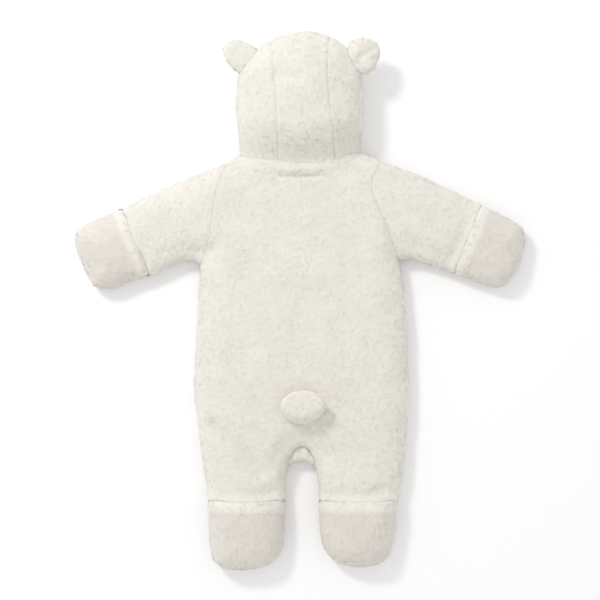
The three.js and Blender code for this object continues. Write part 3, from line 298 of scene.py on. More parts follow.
sleeve_left = limb("mitt_left", SHOULDER_LEFT, SLEEVE_LEFT_TOP, ARMPIT_LEFT, SLEEVE_LEFT_LOW)
sleeve_right = limb("mitt_right", SHOULDER_RIGHT, SLEEVE_RIGHT_TOP, ARMPIT_RIGHT, SLEEVE_RIGHT_LOW)
leg_left = limb("bootie_left", HIP_LEFT, LEG_LEFT_OUTER, CROTCH, LEG_LEFT_INNER)
leg_right = limb("bootie_right", CROTCH, LEG_RIGHT_INNER, HIP_RIGHT, LEG_RIGHT_OUTER)
side_left = Edge(ARMPIT_LEFT, *TORSO_LEFT, HIP_LEFT)
side_right = Edge(ARMPIT_RIGHT, *TORSO_RIGHT, HIP_RIGHT)
shoulder_left = straight(SHOULDER_LEFT, NECK_LEFT)
shoulder_right = straight(NECK_RIGHT, SHOULDER_RIGHT)
armhole_left = Edge(SHOULDER_LEFT, *ARMHOLE_LEFT, ARMPIT_LEFT)
armhole_right = Edge(SHOULDER_RIGHT, *ARMHOLE_RIGHT, ARMPIT_RIGHT)
neck = Edge(NECK_LEFT, *NECK_CURVE, NECK_RIGHT)
hood_left = Edge(NECK_LEFT, *HOOD_SIDE_LEFT, HOOD_LEFT)
hood_right = Edge(NECK_RIGHT, *HOOD_SIDE_RIGHT, HOOD_RIGHT)
hood_top = Edge(HOOD_LEFT, *HOOD_TOP, HOOD_RIGHT)


def segments(edges, length=5.0):
    """Start and end points of short straight pieces along the edges."""
    starts, ends = [], []
    for edge in edges:
        points = edge.sample(np.linspace(0, 1, max(2, int(edge.length / length) + 1)))
        starts.append(points[:-1])
        ends.append(points[1:])
    return np.vstack(starts), np.vstack(ends)


def distance(points, lines):
    """Least distance in plan from each point to a set of straight pieces."""
    start, end = lines
    step = end - start
    square = (step ** 2).sum(1)
    flat = points.reshape(-1, 2)
    least = np.empty(len(flat))
    for low in range(0, len(flat), 4000):
        off = flat[low:low + 4000, None] - start
        t = np.clip((off * step).sum(2) / square, 0, 1)[..., None]
        least[low:low + 4000] = np.sqrt((((off - t * step) ** 2).sum(2)).min(1))
    return least.reshape(points.shape[:-1])


OUTLINE = segments([side_left, side_right, shoulder_left, shoulder_right, *sleeve_left,
                    *sleeve_right, *leg_left, *leg_right, hood_left, hood_top, hood_right])


def edge_distance(points):
    """Distance to the silhouette; the outline's own points come out as exactly 0."""
    return np.maximum(distance(points, OUTLINE) - 0.12, 0)


def fold_depth(folds, points):
    """Sum of soft grooves depth * exp(-(distance / width)^2), one around each fold's line."""
    depth = np.zeros(points.shape[:-1])
    for x0, y0, x1, y1, deep, wide in folds:
        off = distance(points, (np.array([[x0, y0]]), np.array([[x1, y1]])))
        depth += deep * np.exp(-(off / wide) ** 2)
    return depth


def tuck(points, key, low, high):
    """What a limb end gives up inside its cover: size[key] times a ramp along the reach."""
    total = np.zeros(points.shape[:-1])
    for cover in COVERS.values():
        reach = cover["reach_of"](points)
        total += np.where(cover["covers"](points), cover["size"][key] * ramp(low, high, reach), 0)
    return total


def welt(points):
    """The limb's pile rises against the flap: size * exp(-((reach - middle) / width)^2)."""
    total = np.zeros(points.shape[:-1])
    for cover in COVERS.values():
        off = (cover["reach_of"](points) - WELT_MIDDLE) / WELT_WIDTH
        total += np.where(cover["covers"](points), cover["size"]["welt"] * np.exp(-off ** 2), 0)
    return total


def body_top(points):
    """Quarter ellipse from the side seams up to the crown, less the folds."""
    edge = edge_distance(points)
    crown = lerp(TORSO_CROWN, SLEEVE_CROWN, smooth(*SLEEVE_BLEND, np.abs(points[..., 0])))
    relief = tuck(points, "dip", TUCK_START, DIP_END) + fold_depth(BACK_FOLDS, points)
    return (SEAM_HEIGHT + (crown - SEAM_HEIGHT) * rounding(edge / BACK_ROUNDING)
            - relief * ramp(0, RELIEF_REACH, edge) + welt(points) * ramp(0, WELT_EDGE, edge))


def body_bottom(points):
    """Quarter ellipse from the side seams down to the floor, lifted inside the covers."""
    edge = edge_distance(points)
    floor = tuck(points, "lift", TUCK_START, TUCK_END)
    floor = floor + fold_depth(FRONT_FOLDS, points) * ramp(0, RELIEF_REACH, edge)
    return SEAM_HEIGHT - (SEAM_HEIGHT - floor) * rounding(edge / FRONT_ROUNDING)


def hood_share(points):
    """0 at the neck seam, 1 where the hood has its full height: a quarter sine, level at first."""
    past = np.maximum(points[..., 1] - np.interp(points[..., 0], neck.path[:, 0], neck.path[:, 1]), 0)
    return np.sin(np.pi / 2 * ramp(0, HOOD_RISE, past * past / (past + HOOD_FILLET)))


def hood_upper(points):
    """The stuffed dome, growing out of the body's own height at the neck seam."""
    edge = edge_distance(points)
    dome = (HOOD_EQUATOR + (HOOD_CROWN - HOOD_EQUATOR) * rounding(edge / HOOD_ROUNDING)
            - fold_depth(HOOD_FOLDS, points) * ramp(0, RELIEF_REACH, edge))
    return lerp(body_top(points), dome, hood_share(points))


def hood_lower(points):
    """The hood's curl from its widest outline under to the face edge."""
    curl = HOOD_EQUATOR * (1 - rounding(edge_distance(points) / HOOD_TUCK))
    return lerp(body_bottom(points), curl, hood_share(points))


# Grids and quilts
def fractions(points):
    sums = np.concatenate([[0], np.cumsum(np.linalg.norm(np.diff(points, axis=0), axis=1))])
    return sums / sums[-1]


def coons(start, end, side_a, side_b):
    """Coons patch: the blends between both pairs of opposite edges, less the corners' blend."""
    fs, fe, fa, fb = (fractions(points) for points in (start, end, side_a, side_b))
    s = (fs + fe)[None, :] / 2
    t = lerp(fa[:, None], fb[:, None], s)
    s = lerp(fs[None, :], fe[None, :], t)
    s, t = s[..., None], t[..., None]
    corners = lerp(lerp(start[0], start[-1], s), lerp(end[0], end[-1], s), t)
    grid = lerp(start[None], end[None], t) + lerp(side_a[:, None], side_b[:, None], s) - corners
    grid[0], grid[-1], grid[:, 0], grid[:, -1] = start, end, side_a, side_b
    return grid


def even_steps(a, b, height, spacing=GRID):
    """Fractions from plan point a to b that are evenly spaced along the raised surface."""
    t = np.linspace(0, 1, 801)
    line = lerp(np.array(a, float), np.array(b, float), t[:, None])
    raised = np.column_stack([line, height(line)])
    length = np.concatenate([[0], np.cumsum(np.linalg.norm(np.diff(raised, axis=0), axis=1))])
    count = max(4, int(round(length[-1] / spacing)))
    return np.interp(np.linspace(0, length[-1], count + 1), length, t)


def fine_start(steps):
    """Steps with three more close to the first edge, where the surface is steep."""
    first = steps[1]
    return np.concatenate([[0], first * np.array([0.06, 0.25, 0.55]), steps[1:]])


class Quilt:
    """Raised grids sewn into one surface; points that coincide become one vertex."""

    def __init__(self):
        self.points, self.quads, self.count = [], [], 0

    def add(self, grid, height, up):
        rows, columns = grid.shape[:2]
        z = height(grid)
        self.points.append(np.dstack([grid, z]).reshape(-1, 3))
        ids = np.arange(rows * columns).reshape(rows, columns) + self.count
        quads = np.stack([ids[:-1, :-1], ids[:-1, 1:], ids[1:, 1:], ids[1:, :-1]], -1).reshape(-1, 4)
        p, q, r, s = (grid.reshape(-1, 2)[quads[:, k] - self.count] for k in range(4))
        a, b = r - p, s - q
        area = (a[:, 0] * b[:, 1] - a[:, 1] * b[:, 0]).sum()
        self.quads.append(quads if (area > 0) == up else quads[:, ::-1])
        self.count += rows * columns

    def sewn(self):
        points = np.vstack(self.points)
        keys, first, ids = np.unique(np.round(points * 500), axis=0, return_index=True,
                                     return_inverse=True)
        return points[first], ids.reshape(-1)[np.vstack(self.quads)]


def vertex_normals(points, quads):
    a, b = points[quads[:, 2]] - points[quads[:, 0]], points[quads[:, 3]] - points[quads[:, 1]]
    face = np.cross(a, b)
    total = np.zeros_like(points)
    for k in range(4):
        for axis in range(3):
            total[:, axis] += np.bincount(quads[:, k], face[:, axis], len(points))
    return total / np.maximum(np.linalg.norm(total, axis=1), 1e-9)[:, None]


def evened(normals, quads, rounds=4):
    """Normals averaged with those of their neighbours, so that a folded corner doesn't flip them."""
    for _ in range(rounds):
        total = 2 * normals
        face = normals[quads].sum(1)
        for k in range(4):
            for axis in range(3):
                total[:, axis] += np.bincount(quads[:, k], face[:, axis], len(normals))
        normals = total / np.maximum(np.linalg.norm(total, axis=1), 1e-9)[:, None]
    return normals


def border_edges(faces, count):
    """Directed edges that only one face has."""
    one = faces.ravel()
    two = np.roll(faces, -1, axis=1).ravel()
    live = one != two
    one, two = one[live], two[live]
    lone = ~np.isin(one * count + two, two * count + one)
    return np.column_stack([one[lone], two[lone]])


# Pile
class Lattice:
    """Smooth noise in space: random values on a lattice, blended with level ends."""

    def __init__(self, seed, size=32):
        self.size = size
        self.values = np.random.default_rng(seed).uniform(-1, 1, (size, size, size))

    def __call__(self, points, cell):
        p = points / cell + 1000.0
        base = np.floor(p).astype(int)
        w = p - base
        w = w * w * (3 - 2 * w)
        total = 0.0
        for corner in np.ndindex(2, 2, 2):
            index = (base + corner) % self.size
            weight = np.prod(np.where(corner, w, 1 - w), axis=-1)
            total = total + weight * self.values[index[..., 0], index[..., 1], index[..., 2]]
        return total


class Knots:
    """Rounded knots of pile: 1 at the middle of each, 0 between them, from scattered centres."""

    def __init__(self, seed, size=32):
        self.size = size
        self.centres = np.random.default_rng(seed).uniform(0.1, 0.9, (size, size, size, 3))

    def __call__(self, points, cell):
        p = points / cell + 1000.0
        base = np.floor(p).astype(int)
        least = np.full(len(points), 9.0)
        for corner in np.ndindex(3, 3, 3):
            here = base + np.array(corner) - 1
            index = here % self.size
            centre = here + self.centres[index[..., 0], index[..., 1], index[..., 2]]
            least = np.minimum(least, ((p - centre) ** 2).sum(-1))
        return np.clip(1 - least / 0.72, 0, 1)


undulation, waver, curl_noise = Lattice(3), Lattice(5), Lattice(8)
knots = Knots(21)

KNOT_CELL = 4.2
KNOT_HEIGHT = 0.75
CURL_HEIGHT = 0.45


def pile_height(points):
    """Slow swells, wavering knots of a few millimetres, and finer curls, in millimetres."""
    bent = points + 1.6 * np.column_stack([waver(points + shift, 4.0) for shift in (0, 37, 71)])
    knot = knots(bent, KNOT_CELL)
    swell = 0.8 * undulation(points, 34.0) + 0.5 * undulation(points + 90, 15.0)
    return swell + KNOT_HEIGHT * knot + CURL_HEIGHT * curl_noise(points, 2.4), knot


SEAMS = segments([armhole_left, armhole_right])


def seam_groove(points, lines, depth, width):
    """depth * exp(-(plan distance to the seams / width)^2)"""
    return depth * np.exp(-(distance(points[:, :2], lines) / width) ** 2)


def shell(quilt, wall, groove=None, hem=None, rest=True):
    """Closed wall: the outer side carries the pile, the inner side is the smooth lining.

    Both sides follow the quilt's normals. The outer side sinks by the groove at its seams, and
    where the garment rests its pile is pressed flat against the floor.
    """
    base, quads = quilt.sewn()
    normals = evened(vertex_normals(base, quads), quads)
    pile, knot = pile_height(base)
    border = border_edges(quads, len(base))
    rim = np.unique(border)
    height = pile.copy()
    height[rim] *= 0.75
    if groove is not None:
        depth = seam_groove(base, *groove)
        height = height * (1 - 0.5 * depth / groove[1]) - depth
    # Share of the lit tint: low pile and the seam grooves lean to the shaded tint, painted shade in the hollows.
    level = 0.5 + 0.3 * ramp(-1.5, 2.2, height)
    if hem is not None:
        sunk, band = hem(base)
        height = height - sunk
        # Covers keep mostly their own darker tone; the rolled flap band is painted lighter, a painted highlight.
        level = 0.35 * level + 0.8 * band
    outer = base + normals * height[:, None]
    inner = base - normals * wall
    if rest:
        floor = 0.25 + 0.5 * knot
        outer[:, 2] = np.maximum(outer[:, 2], floor)
        inner[:, 2] = np.maximum(inner[:, 2], 1.6)
    count = len(base)
    walls = np.column_stack([border[:, 1], border[:, 0], border[:, 0] + count, border[:, 1] + count])
    faces = np.vstack([quads, quads[:, ::-1] + count, walls])
    lining = np.concatenate([np.zeros(len(quads)), np.ones(len(quads)), np.zeros(len(walls))])
    level = np.concatenate([level, np.full(count, 0.5)])
    area = 0.5 * np.linalg.norm(np.cross(base[quads[:, 2]] - base[quads[:, 0]],
                                         base[quads[:, 3]] - base[quads[:, 1]]), axis=1).sum()
    shade = np.vstack([vertex_normals(outer, quads), -vertex_normals(inner, quads)])
    return dict(points=np.vstack([outer, inner]), faces=faces, lining=lining.astype(int), level=level,
                shade=shade,
                area=area * MM * MM, skin=(base, normals, quads, height - pile))


def closed(quilt, share=1.0):
    """A padded piece: a closed quilt whose whole surface carries the pile."""
    base, quads = quilt.sewn()
    normals = vertex_normals(base, quads)
    pile, _ = pile_height(base)
    outer = base + normals * (pile * share)[:, None]
    # The level paints the pile's hollows darker, towards the shaded tint: painted shade.
    return dict(points=outer, faces=quads, lining=np.zeros(len(quads), int),
                level=0.5 + 0.3 * ramp(-1.5, 2.2, pile), skin=(base, normals, quads, pile * (share - 1)))


# Locks of pile: flat curls that lie on the surface
LOCK_SECTION = np.array([[-1.0, -0.9], [1.0, -0.9], [0.0, 0.48]])   # across, up
LOCK_STAND = 0.35     # how much more a lock stands out where the surface is upright
LOCK_LIFT = 0.06      # height of a lock's middle over the surface, in millimetres
LOCK_SHADE = 0.18     # share of the lock's own roundness in its shading


def locks(skin, density, seed, free, length=3.6, radius=0.5):
    """Flat curls on a surface: root, bend and tip follow a slowly turning comb direction.

    density is locks per square millimetre. Each lock rises from the surface, bends sideways and
    ends with its tip back on the surface; its section is a low triangle, shaded softly.
    """
    rng = np.random.default_rng(seed)
    points, normals, quads, extra = skin
    corner = points[quads]
    area = 0.5 * np.linalg.norm(np.cross(corner[:, 2] - corner[:, 0], corner[:, 3] - corner[:, 1]),
                                axis=1)
    number = int(area.sum() * density)
    pick = rng.choice(len(quads), number, p=area / area.sum())
    pick = pick[free(corner[pick].mean(1))]
    number = len(pick)
    u, v = rng.uniform(size=(2, number, 1))
    c = corner[pick]
    root = lerp(lerp(c[:, 0], c[:, 1], u), lerp(c[:, 3], c[:, 2], u), v)
    n = normals[quads[pick]].mean(1)
    n /= np.linalg.norm(n, axis=1)[:, None]
    turn = 2.6 * math.pi * curl_noise(root, 7.0) + rng.normal(0, 0.9, number)
    sway = rng.choice([-1, 1], (number, 1)) * rng.uniform(0.15, 0.5, (number, 1))
    east = np.cross([0.31, 0.95, 0.05], n)
    east /= np.linalg.norm(east, axis=1)[:, None]
    north = np.cross(n, east)
    lean = east * np.cos(turn)[:, None] + north * np.sin(turn)[:, None]
    side = np.cross(n, lean)
    size = length * rng.uniform(0.65, 1.25, (number, 1))
    thick = radius * rng.uniform(0.75, 1.2, (number, 1))
    sunk = extra[quads[pick]].mean(1)
    stand = LOCK_STAND * (1 - np.abs(n[:, 2]))

    def laid(place, above):
        return place + n * (pile_height(place)[0] + sunk + above)[:, None]

    bend = laid(root + lean * size * 0.45 + side * size * sway * 0.5, LOCK_LIFT + 0.5 * stand)
    tip = laid(root + lean * size * 0.85 - side * size * sway * 0.35, 0.05 + stand)
    root = laid(root, -0.1)
    rings, rounds = [], []
    for centre, scale in ((root, 0.7), (bend, 1.0)):
        rings += [centre + (side * c + n * s) * thick * scale for c, s in LOCK_SECTION]
        rounds += [side * c + n * max(s, 0) for c, s in LOCK_SECTION]
    block = np.stack([*rings, tip], 1)
    own = np.stack([*rounds, lean], 1)
    shade = (n[:, None] * (1 - LOCK_SHADE) + own * LOCK_SHADE).reshape(-1, 3)
    index = np.arange(number)[:, None] * 7
    around = [(k, (k + 1) % 3) for k in range(3)]
    quads_out = np.vstack([index + [a, b, b + 3, a + 3] for a, b in around])
    tris = np.vstack([index + [a + 3, b + 3, 6] for a, b in around] + [index + [2, 1, 0]])
    flip = quads_out[:, ::-1], tris[:, ::-1]
    facing = np.cross(rings[1] - rings[0], rings[3] - rings[0])
    out = (facing * (rings[0] - root)).sum(1).mean() > 0
    quads_out, tris = (quads_out, tris) if out else flip
    # Roots lean to the shaded tint and tips to the lit one: painted shade where a lock meets the surface.
    level = np.tile([0.4] * 3 + [0.8] * 3 + [1.0], number)
    verts = block.reshape(-1, 3)
    verts[:, 2] = np.maximum(verts[:, 2], 0.25)
    shade /= np.linalg.norm(shade, axis=1)[:, None]
    return dict(points=verts, faces=quads_out, tris=tris, level=level, shade=shade)


# Materials
def colour_material(name, tint, shaded_tint, roughness, bump_scale, bump, sheen, coarse=None,
                    curl_scale=120, curl=0.28, soft=0.4):
    """Fibre material: tint from the shaded tint (painted shade, deepest in the pile's hollows, seam grooves and
    at lock roots) up to the tip tint by the pile attribute, mottled, with fibre bump.
    """
    material = bpy.data.materials.new(name)
    material.use_nodes = True
    nodes, links = material.node_tree.nodes, material.node_tree.links
    shader = nodes["Principled BSDF"]
    shader.inputs["Roughness"].default_value = roughness
    shader.inputs["Sheen Weight"].default_value = sheen
    shader.inputs["Sheen Roughness"].default_value = 0.5
    shader.inputs["Specular IOR Level"].default_value = 0.1
    shader.inputs["Subsurface Weight"].default_value = soft
    shader.inputs["Subsurface Radius"].default_value = (1.0, 0.92, 0.8)
    shader.inputs["Subsurface Scale"].default_value = 0.004
    place = nodes.new("ShaderNodeTexCoord")
    level = nodes.new("ShaderNodeAttribute")
    level.attribute_name = "pile"
    shade = nodes.new("ShaderNodeMix")
    shade.data_type = "RGBA"
    shade.inputs["A"].default_value = (*shaded_tint, 1)
    shade.inputs["B"].default_value = (*tint, 1)
    links.new(level.outputs["Fac"], shade.inputs["Factor"])
    mottle = nodes.new("ShaderNodeTexNoise")
    mottle.inputs["Scale"].default_value = coarse or 26
    mottle.inputs["Detail"].default_value = 4
    links.new(place.outputs["Object"], mottle.inputs["Vector"])
    spread = nodes.new("ShaderNodeMapRange")
    spread.inputs["From Min"].default_value = 0.3
    spread.inputs["From Max"].default_value = 0.7
    spread.inputs["To Min"].default_value = 0.965
    spread.inputs["To Max"].default_value = 1.02
    links.new(mottle.outputs["Fac"], spread.inputs["Value"])
    tone_mix = nodes.new("ShaderNodeVectorMath")
    tone_mix.operation = "SCALE"
    links.new(shade.outputs["Result"], tone_mix.inputs["Vector"])
    links.new(spread.outputs["Result"], tone_mix.inputs["Scale"])
    links.new(tone_mix.outputs["Vector"], shader.inputs["Base Color"])
    fibre = nodes.new("ShaderNodeTexNoise")
    fibre.inputs["Scale"].default_value = bump_scale
    fibre.inputs["Detail"].default_value = 3
    fibre.inputs["Distortion"].default_value = 1.2
    links.new(place.outputs["Object"], fibre.inputs["Vector"])
    curls = nodes.new("ShaderNodeTexNoise")
    curls.inputs["Scale"].default_value = curl_scale
    curls.inputs["Detail"].default_value = 1
    curls.inputs["Distortion"].default_value = 2.2
    links.new(place.outputs["Object"], curls.inputs["Vector"])
    ridges = nodes.new("ShaderNodeMath")
    ridges.operation = "PINGPONG"
    ridges.inputs[1].default_value = 0.09
    links.new(curls.outputs["Fac"], ridges.inputs[0])
    curled = nodes.new("ShaderNodeBump")
    curled.inputs["Strength"].default_value = curl
    curled.inputs["Distance"].default_value = 0.006
    links.new(ridges.outputs["Value"], curled.inputs["Height"])
    relief = nodes.new("ShaderNodeBump")
    relief.inputs["Strength"].default_value = bump
    relief.inputs["Distance"].default_value = 0.0006
    links.new(fibre.outputs["Fac"], relief.inputs["Height"])
    links.new(curled.outputs["Normal"], relief.inputs["Normal"])
    links.new(relief.outputs["Normal"], shader.inputs["Normal"])
    return material


# PILE_SHADED is painted shade: the darker tone the pile takes in its hollows and seam grooves; PILE_TIP is the
# lit tone of the tips.
PILE_TIP, PILE_SHADED = (0.828, 0.80, 0.73), (0.80, 0.765, 0.692)
pile_cloth = colour_material("pile_fleece", PILE_TIP, PILE_SHADED, 0.95, 900, 0.5, 0.25)
# COVER_TONE_AND_SHADE is the cover's own darker tone and also the painted shade in its pile's hollows; COVER_TIP
# is the lighter tone of the painted highlight on the flap's rolled edge.
COVER_TIP, COVER_TONE_AND_SHADE = (0.84, 0.81, 0.745), (0.74, 0.695, 0.635)
cover_cloth = colour_material("pile_fleece_cover", COVER_TIP, COVER_TONE_AND_SHADE, 0.95, 900, 0.5, 0.25)
LOCK_CLOTH = dict(
    fleece=colour_material("pile_locks", PILE_TIP, PILE_TIP, 0.95, 900, 0.3, 0.25, soft=0.0),
    fleece_cover=colour_material("pile_locks_cover", COVER_TIP, COVER_TONE_AND_SHADE, 0.95, 900, 0.3, 0.25, soft=0.0))
lining_cloth = colour_material("lining_jersey", (0.86, 0.845, 0.80), (0.84, 0.82, 0.77),
                               0.85, 1600, 0.35, 0.1)


def without_repeats(quads, index):
    """Quads with a doubled corner become triangles; flatter ones go."""
    same = quads == np.roll(quads, -1, axis=1)
    doubled = same.sum(1)
    whole = doubled == 0
    single = doubled == 1
    keep = ~same[single]
    tris = quads[single][keep].reshape(-1, 3)
    return [quads[whole], tris], [index[whole], index[single]]


def add_piece(name, parts, materials, body="suit"):
    """One mesh from points in plan millimetres and faces of three or four corners."""
    mesh = bpy.data.meshes.new(name)
    points = (parts["points"] + FRAME_SHIFT) * MM
    index = parts.get("lining", np.zeros(len(parts["faces"]), int))
    blocks, indices = without_repeats(parts["faces"], index)
    if "tris" in parts:
        blocks.append(parts["tris"])
        indices.append(np.zeros(len(parts["tris"]), int))
    corners = np.concatenate([block.ravel() for block in blocks]).astype(np.int32)
    sizes = np.concatenate([np.full(len(block), block.shape[1]) for block in blocks])
    mesh.vertices.add(len(points))
    mesh.vertices.foreach_set("co", points.astype(np.float32).ravel())
    mesh.loops.add(len(corners))
    mesh.loops.foreach_set("vertex_index", corners)
    mesh.polygons.add(len(sizes))
    mesh.polygons.foreach_set("loop_start", (np.cumsum(sizes) - sizes).astype(np.int32))
    mesh.polygons.foreach_set("use_smooth", np.ones(len(sizes), bool))
    mesh.polygons.foreach_set("material_index", np.concatenate(indices).astype(np.int32))
    mesh.update(calc_edges=True)
    # The pile attribute holds each point's share of painted shade in the hollows and painted highlight on the
    # flap bands.
    level = mesh.attributes.new("pile", "FLOAT", "POINT")
    level.data.foreach_set("value", np.asarray(parts["level"], np.float32))
    mesh.validate()
    if "shade" in parts:
        mesh.normals_split_custom_set_from_vertices(parts["shade"].astype(np.float32))
    for material in materials:
        mesh.materials.append(material)
    piece = bpy.data.objects.new(name, mesh)
    bpy.context.scene.collection.objects.link(piece)
    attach(piece, body)
    return piece


# Panels
def limb_grids(quilt, edges, root, height, up):
    """A limb from its root row to its hem, tucked into its cover at the end."""
    a, b = edges
    hem_steps = fractions(root)
    hem = lerp(a.path[-1], b.path[-1], hem_steps[:, None])
    count = int(max(a.length, b.length) / GRID)
    steps = np.linspace(0, 1, count + 1)
    quilt.add(coons(root, hem, a.sample(steps), b.sample(steps)), height, up)


LEFT_LEG_STEPS = even_steps((-126, -235), (-20, -235), body_top)
RIGHT_LEG_STEPS = even_steps((22, -235), (131, -235), body_top)


def back_panel():
    quilt = Quilt()
    hip_left = lerp(np.array(HIP_LEFT, float), np.array(CROTCH), LEFT_LEG_STEPS[:, None])
    hip_right = lerp(np.array(CROTCH), np.array(HIP_RIGHT, float), RIGHT_LEG_STEPS[:, None])
    hips = np.vstack([hip_left, hip_right[1:]])
    top = span(shoulder_left, neck, shoulder_right)
    down = fine_start(even_steps((0, 176), (0, -190), body_top))
    left = span(armhole_left, side_left)
    right = span(armhole_right, side_right)
    quilt.add(coons(top.sample(fractions(hips)), hips, left.sample(down), right.sample(down)),
              body_top, True)
    limb_grids(quilt, leg_left, hip_left, body_top, True)
    limb_grids(quilt, leg_right, hip_right, body_top, True)
    return quilt


def front_panel(left):
    edges = leg_left if left else leg_right
    outside, inside = edges if left else edges[::-1]
    zip_x = ZIP_AXIS + (-1 if left else 1) * ZIP_CHANNEL / 2
    beyond = inside.path[:, 0] <= zip_x if left else inside.path[:, 0] >= zip_x
    cut = inside.fraction[np.argmax(beyond)]
    inside = inside.part(cut, 1)
    fork = inside.path[0].copy()
    fork[0] = zip_x
    inside.path[0] = fork
    hip = np.array(HIP_LEFT if left else HIP_RIGHT, float)
    shoulder, armhole, side = ((shoulder_left, armhole_left, side_left) if left
                               else (shoulder_right.part(1, 0), armhole_right, side_right))
    meet = np.interp(zip_x, neck.path[:, 0], neck.fraction)
    front = neck.part(0, meet) if left else neck.part(1, meet)
    front.path[-1, 0] = zip_x
    across = even_steps(hip, fork, body_bottom)
    hips = lerp(hip, fork, across[:, None])
    down = fine_start(even_steps(front.path[-1], fork, body_bottom))
    zip_edge = straight(front.path[-1], fork)
    quilt = Quilt()
    quilt.add(coons(span(shoulder, front).sample(across), hips,
                    span(armhole, side).sample(down), zip_edge.sample(down)), body_bottom, False)
    limb_grids(quilt, (outside, inside), hips, body_bottom, False)
    return quilt


def sleeve(edges, armhole):
    """One cut piece: upper and under side join along the top and the underarm."""
    quilt = Quilt()
    steps = even_steps(armhole.path[0], armhole.path[-1], body_top)
    root = armhole.sample(steps)
    limb_grids(quilt, edges, root, body_top, True)
    limb_grids(quilt, edges, root, body_bottom, False)
    return quilt


# The band's middle and width also set where the flap edge is painted lighter: a painted highlight on the roll.
FLAP = dict(roll=9.0, drop=3.2, ridge=0.8, middle=10.0, width=5.5)   # the flap edge's rolled band


def cover_pocket(cover):
    """A pocket round the limb end, open along its flap edge, which rolls over softly."""
    size, lines = cover["size"], (cover["line_a"], cover["line_b"])
    border = segments([*lines, cover["line_tip"]])
    starts = [line.reach_fraction(cover["reach_of"], COVER_SETBACK) for line in lines]
    corners = [line.at(start) for line, start in zip(lines, starts)]

    def top(points):
        edge = np.maximum(distance(points, border) - 0.12, 0)
        return SEAM_HEIGHT + (size["crown"] - SEAM_HEIGHT) * rounding(edge / size["rounding"])

    def bottom(points):
        edge = np.maximum(distance(points, border) - 0.12, 0)
        return SEAM_HEIGHT * (1 - rounding(edge / FRONT_ROUNDING))

    across = even_steps(*corners, top)
    back = COVER_SETBACK * ramp(0, FLAP_CORNER, np.minimum(across, 1 - across))
    under = lerp(corners[0], corners[1], across[:, None])
    flap = under - cover["outward"] * back[:, None]
    along = np.linspace(0, 1, int(size["reach"] * 1.5 / GRID) + 1)
    sides = [line.part(start, 1).sample(along) for line, start in zip(lines, starts)]
    tip = cover["line_tip"].sample(across)
    quilt = Quilt()
    quilt.add(coons(flap, tip, *sides), top, True)
    quilt.add(coons(under, tip, *sides), bottom, False)
    flap_line = segments([Edge(*flap[::6], flap[-1])]) if len(flap) > 12 else None

    def hem(points):
        """How far the edge rolls down, and how much of each point lies in the rolled band, which is painted
        lighter as a highlight.
        """
        near = distance(points[:, :2], flap_line)
        above = smooth(SEAM_HEIGHT - 1, SEAM_HEIGHT + 4, points[:, 2])
        band = np.exp(-((near - FLAP["middle"]) / FLAP["width"]) ** 2)
        sunk = FLAP["drop"] * (1 - rounding(near / FLAP["roll"])) - FLAP["ridge"] * band
        # The second value paints the rolled band lighter: a painted highlight.
        return sunk * above, above * (1 - smooth(FLAP["middle"], FLAP["middle"] + 7.0, near))

    return quilt, hem


# Hood
def at_x(edge, x):
    return float(np.interp(x, edge.path[:, 0], edge.fraction))


neck_at = [at_x(neck, x) for x in HOOD_SEAM_ENDS["neck"]]
top_at = [at_x(hood_top, x) for x in HOOD_SEAM_ENDS["top"]]
hood_seam_left = Edge(neck.at(neck_at[0]), *HOOD_SEAM_LEFT, hood_top.at(top_at[0]))
hood_seam_right = Edge(neck.at(neck_at[1]), *HOOD_SEAM_RIGHT, hood_top.at(top_at[1]))
face_top = Edge(*FACE_EDGE_TOP)
HOOD_SEAMS = segments([hood_seam_left.part(0, 0.7), hood_seam_right])
curl_left = straight(hood_top.at(top_at[0]), face_top.path[0])
curl_right = straight(hood_top.at(top_at[1]), face_top.path[-1])


def hood_centre():
    quilt = Quilt()
    up = even_steps((0, 177), (0, 343), hood_upper)
    across = even_steps((-33, 270), (36, 270), hood_upper)
    curl = even_steps((0, 343), (0, 313), hood_lower)
    top = hood_top.part(*top_at).sample(across)
    quilt.add(coons(neck.part(*neck_at).sample(across), top,
                    hood_seam_left.sample(up), hood_seam_right.sample(up)), hood_upper, True)
    quilt.add(coons(top, face_top.sample(across), curl_left.sample(curl), curl_right.sample(curl)),
              hood_lower, False)
    return quilt


def hood_side(left):
    quilt = Quilt()
    outer, seam, curl, row = ((hood_left, hood_seam_left, curl_left, FACE_EDGE_LEFT) if left
                              else (hood_right, hood_seam_right, curl_right, FACE_EDGE_RIGHT))
    end, k = (0, 0) if left else (1, 1)
    zip_x = ZIP_AXIS + (-1 if left else 1) * ZIP_CHANNEL / 2
    front = neck.part(end, at_x(neck, zip_x))
    face = Edge(front.path[-1], *row, curl.path[-1])
    up = even_steps(outer.path[0], outer.path[-1], lambda p: 0 * p[..., 0])
    across = even_steps((-82, 262) if left else (80, 262), (-32, 262) if left else (36, 262), hood_upper)
    round_top = hood_top.part(end, top_at[k])
    top = round_top.sample(across)
    quilt.add(coons(neck.part(end, neck_at[k]).sample(across), top, outer.sample(up), seam.sample(up)),
              hood_upper, True)
    rim = np.vstack([outer.sample(up), top[1:]])
    inward = even_steps((-82, 262) if left else (80, 262), (-50, 262) if left else (51, 262), hood_lower)
    quilt.add(coons(rim, face.sample(fractions(rim)), front.sample(inward), curl.sample(inward)),
              hood_lower, False)
    return quilt


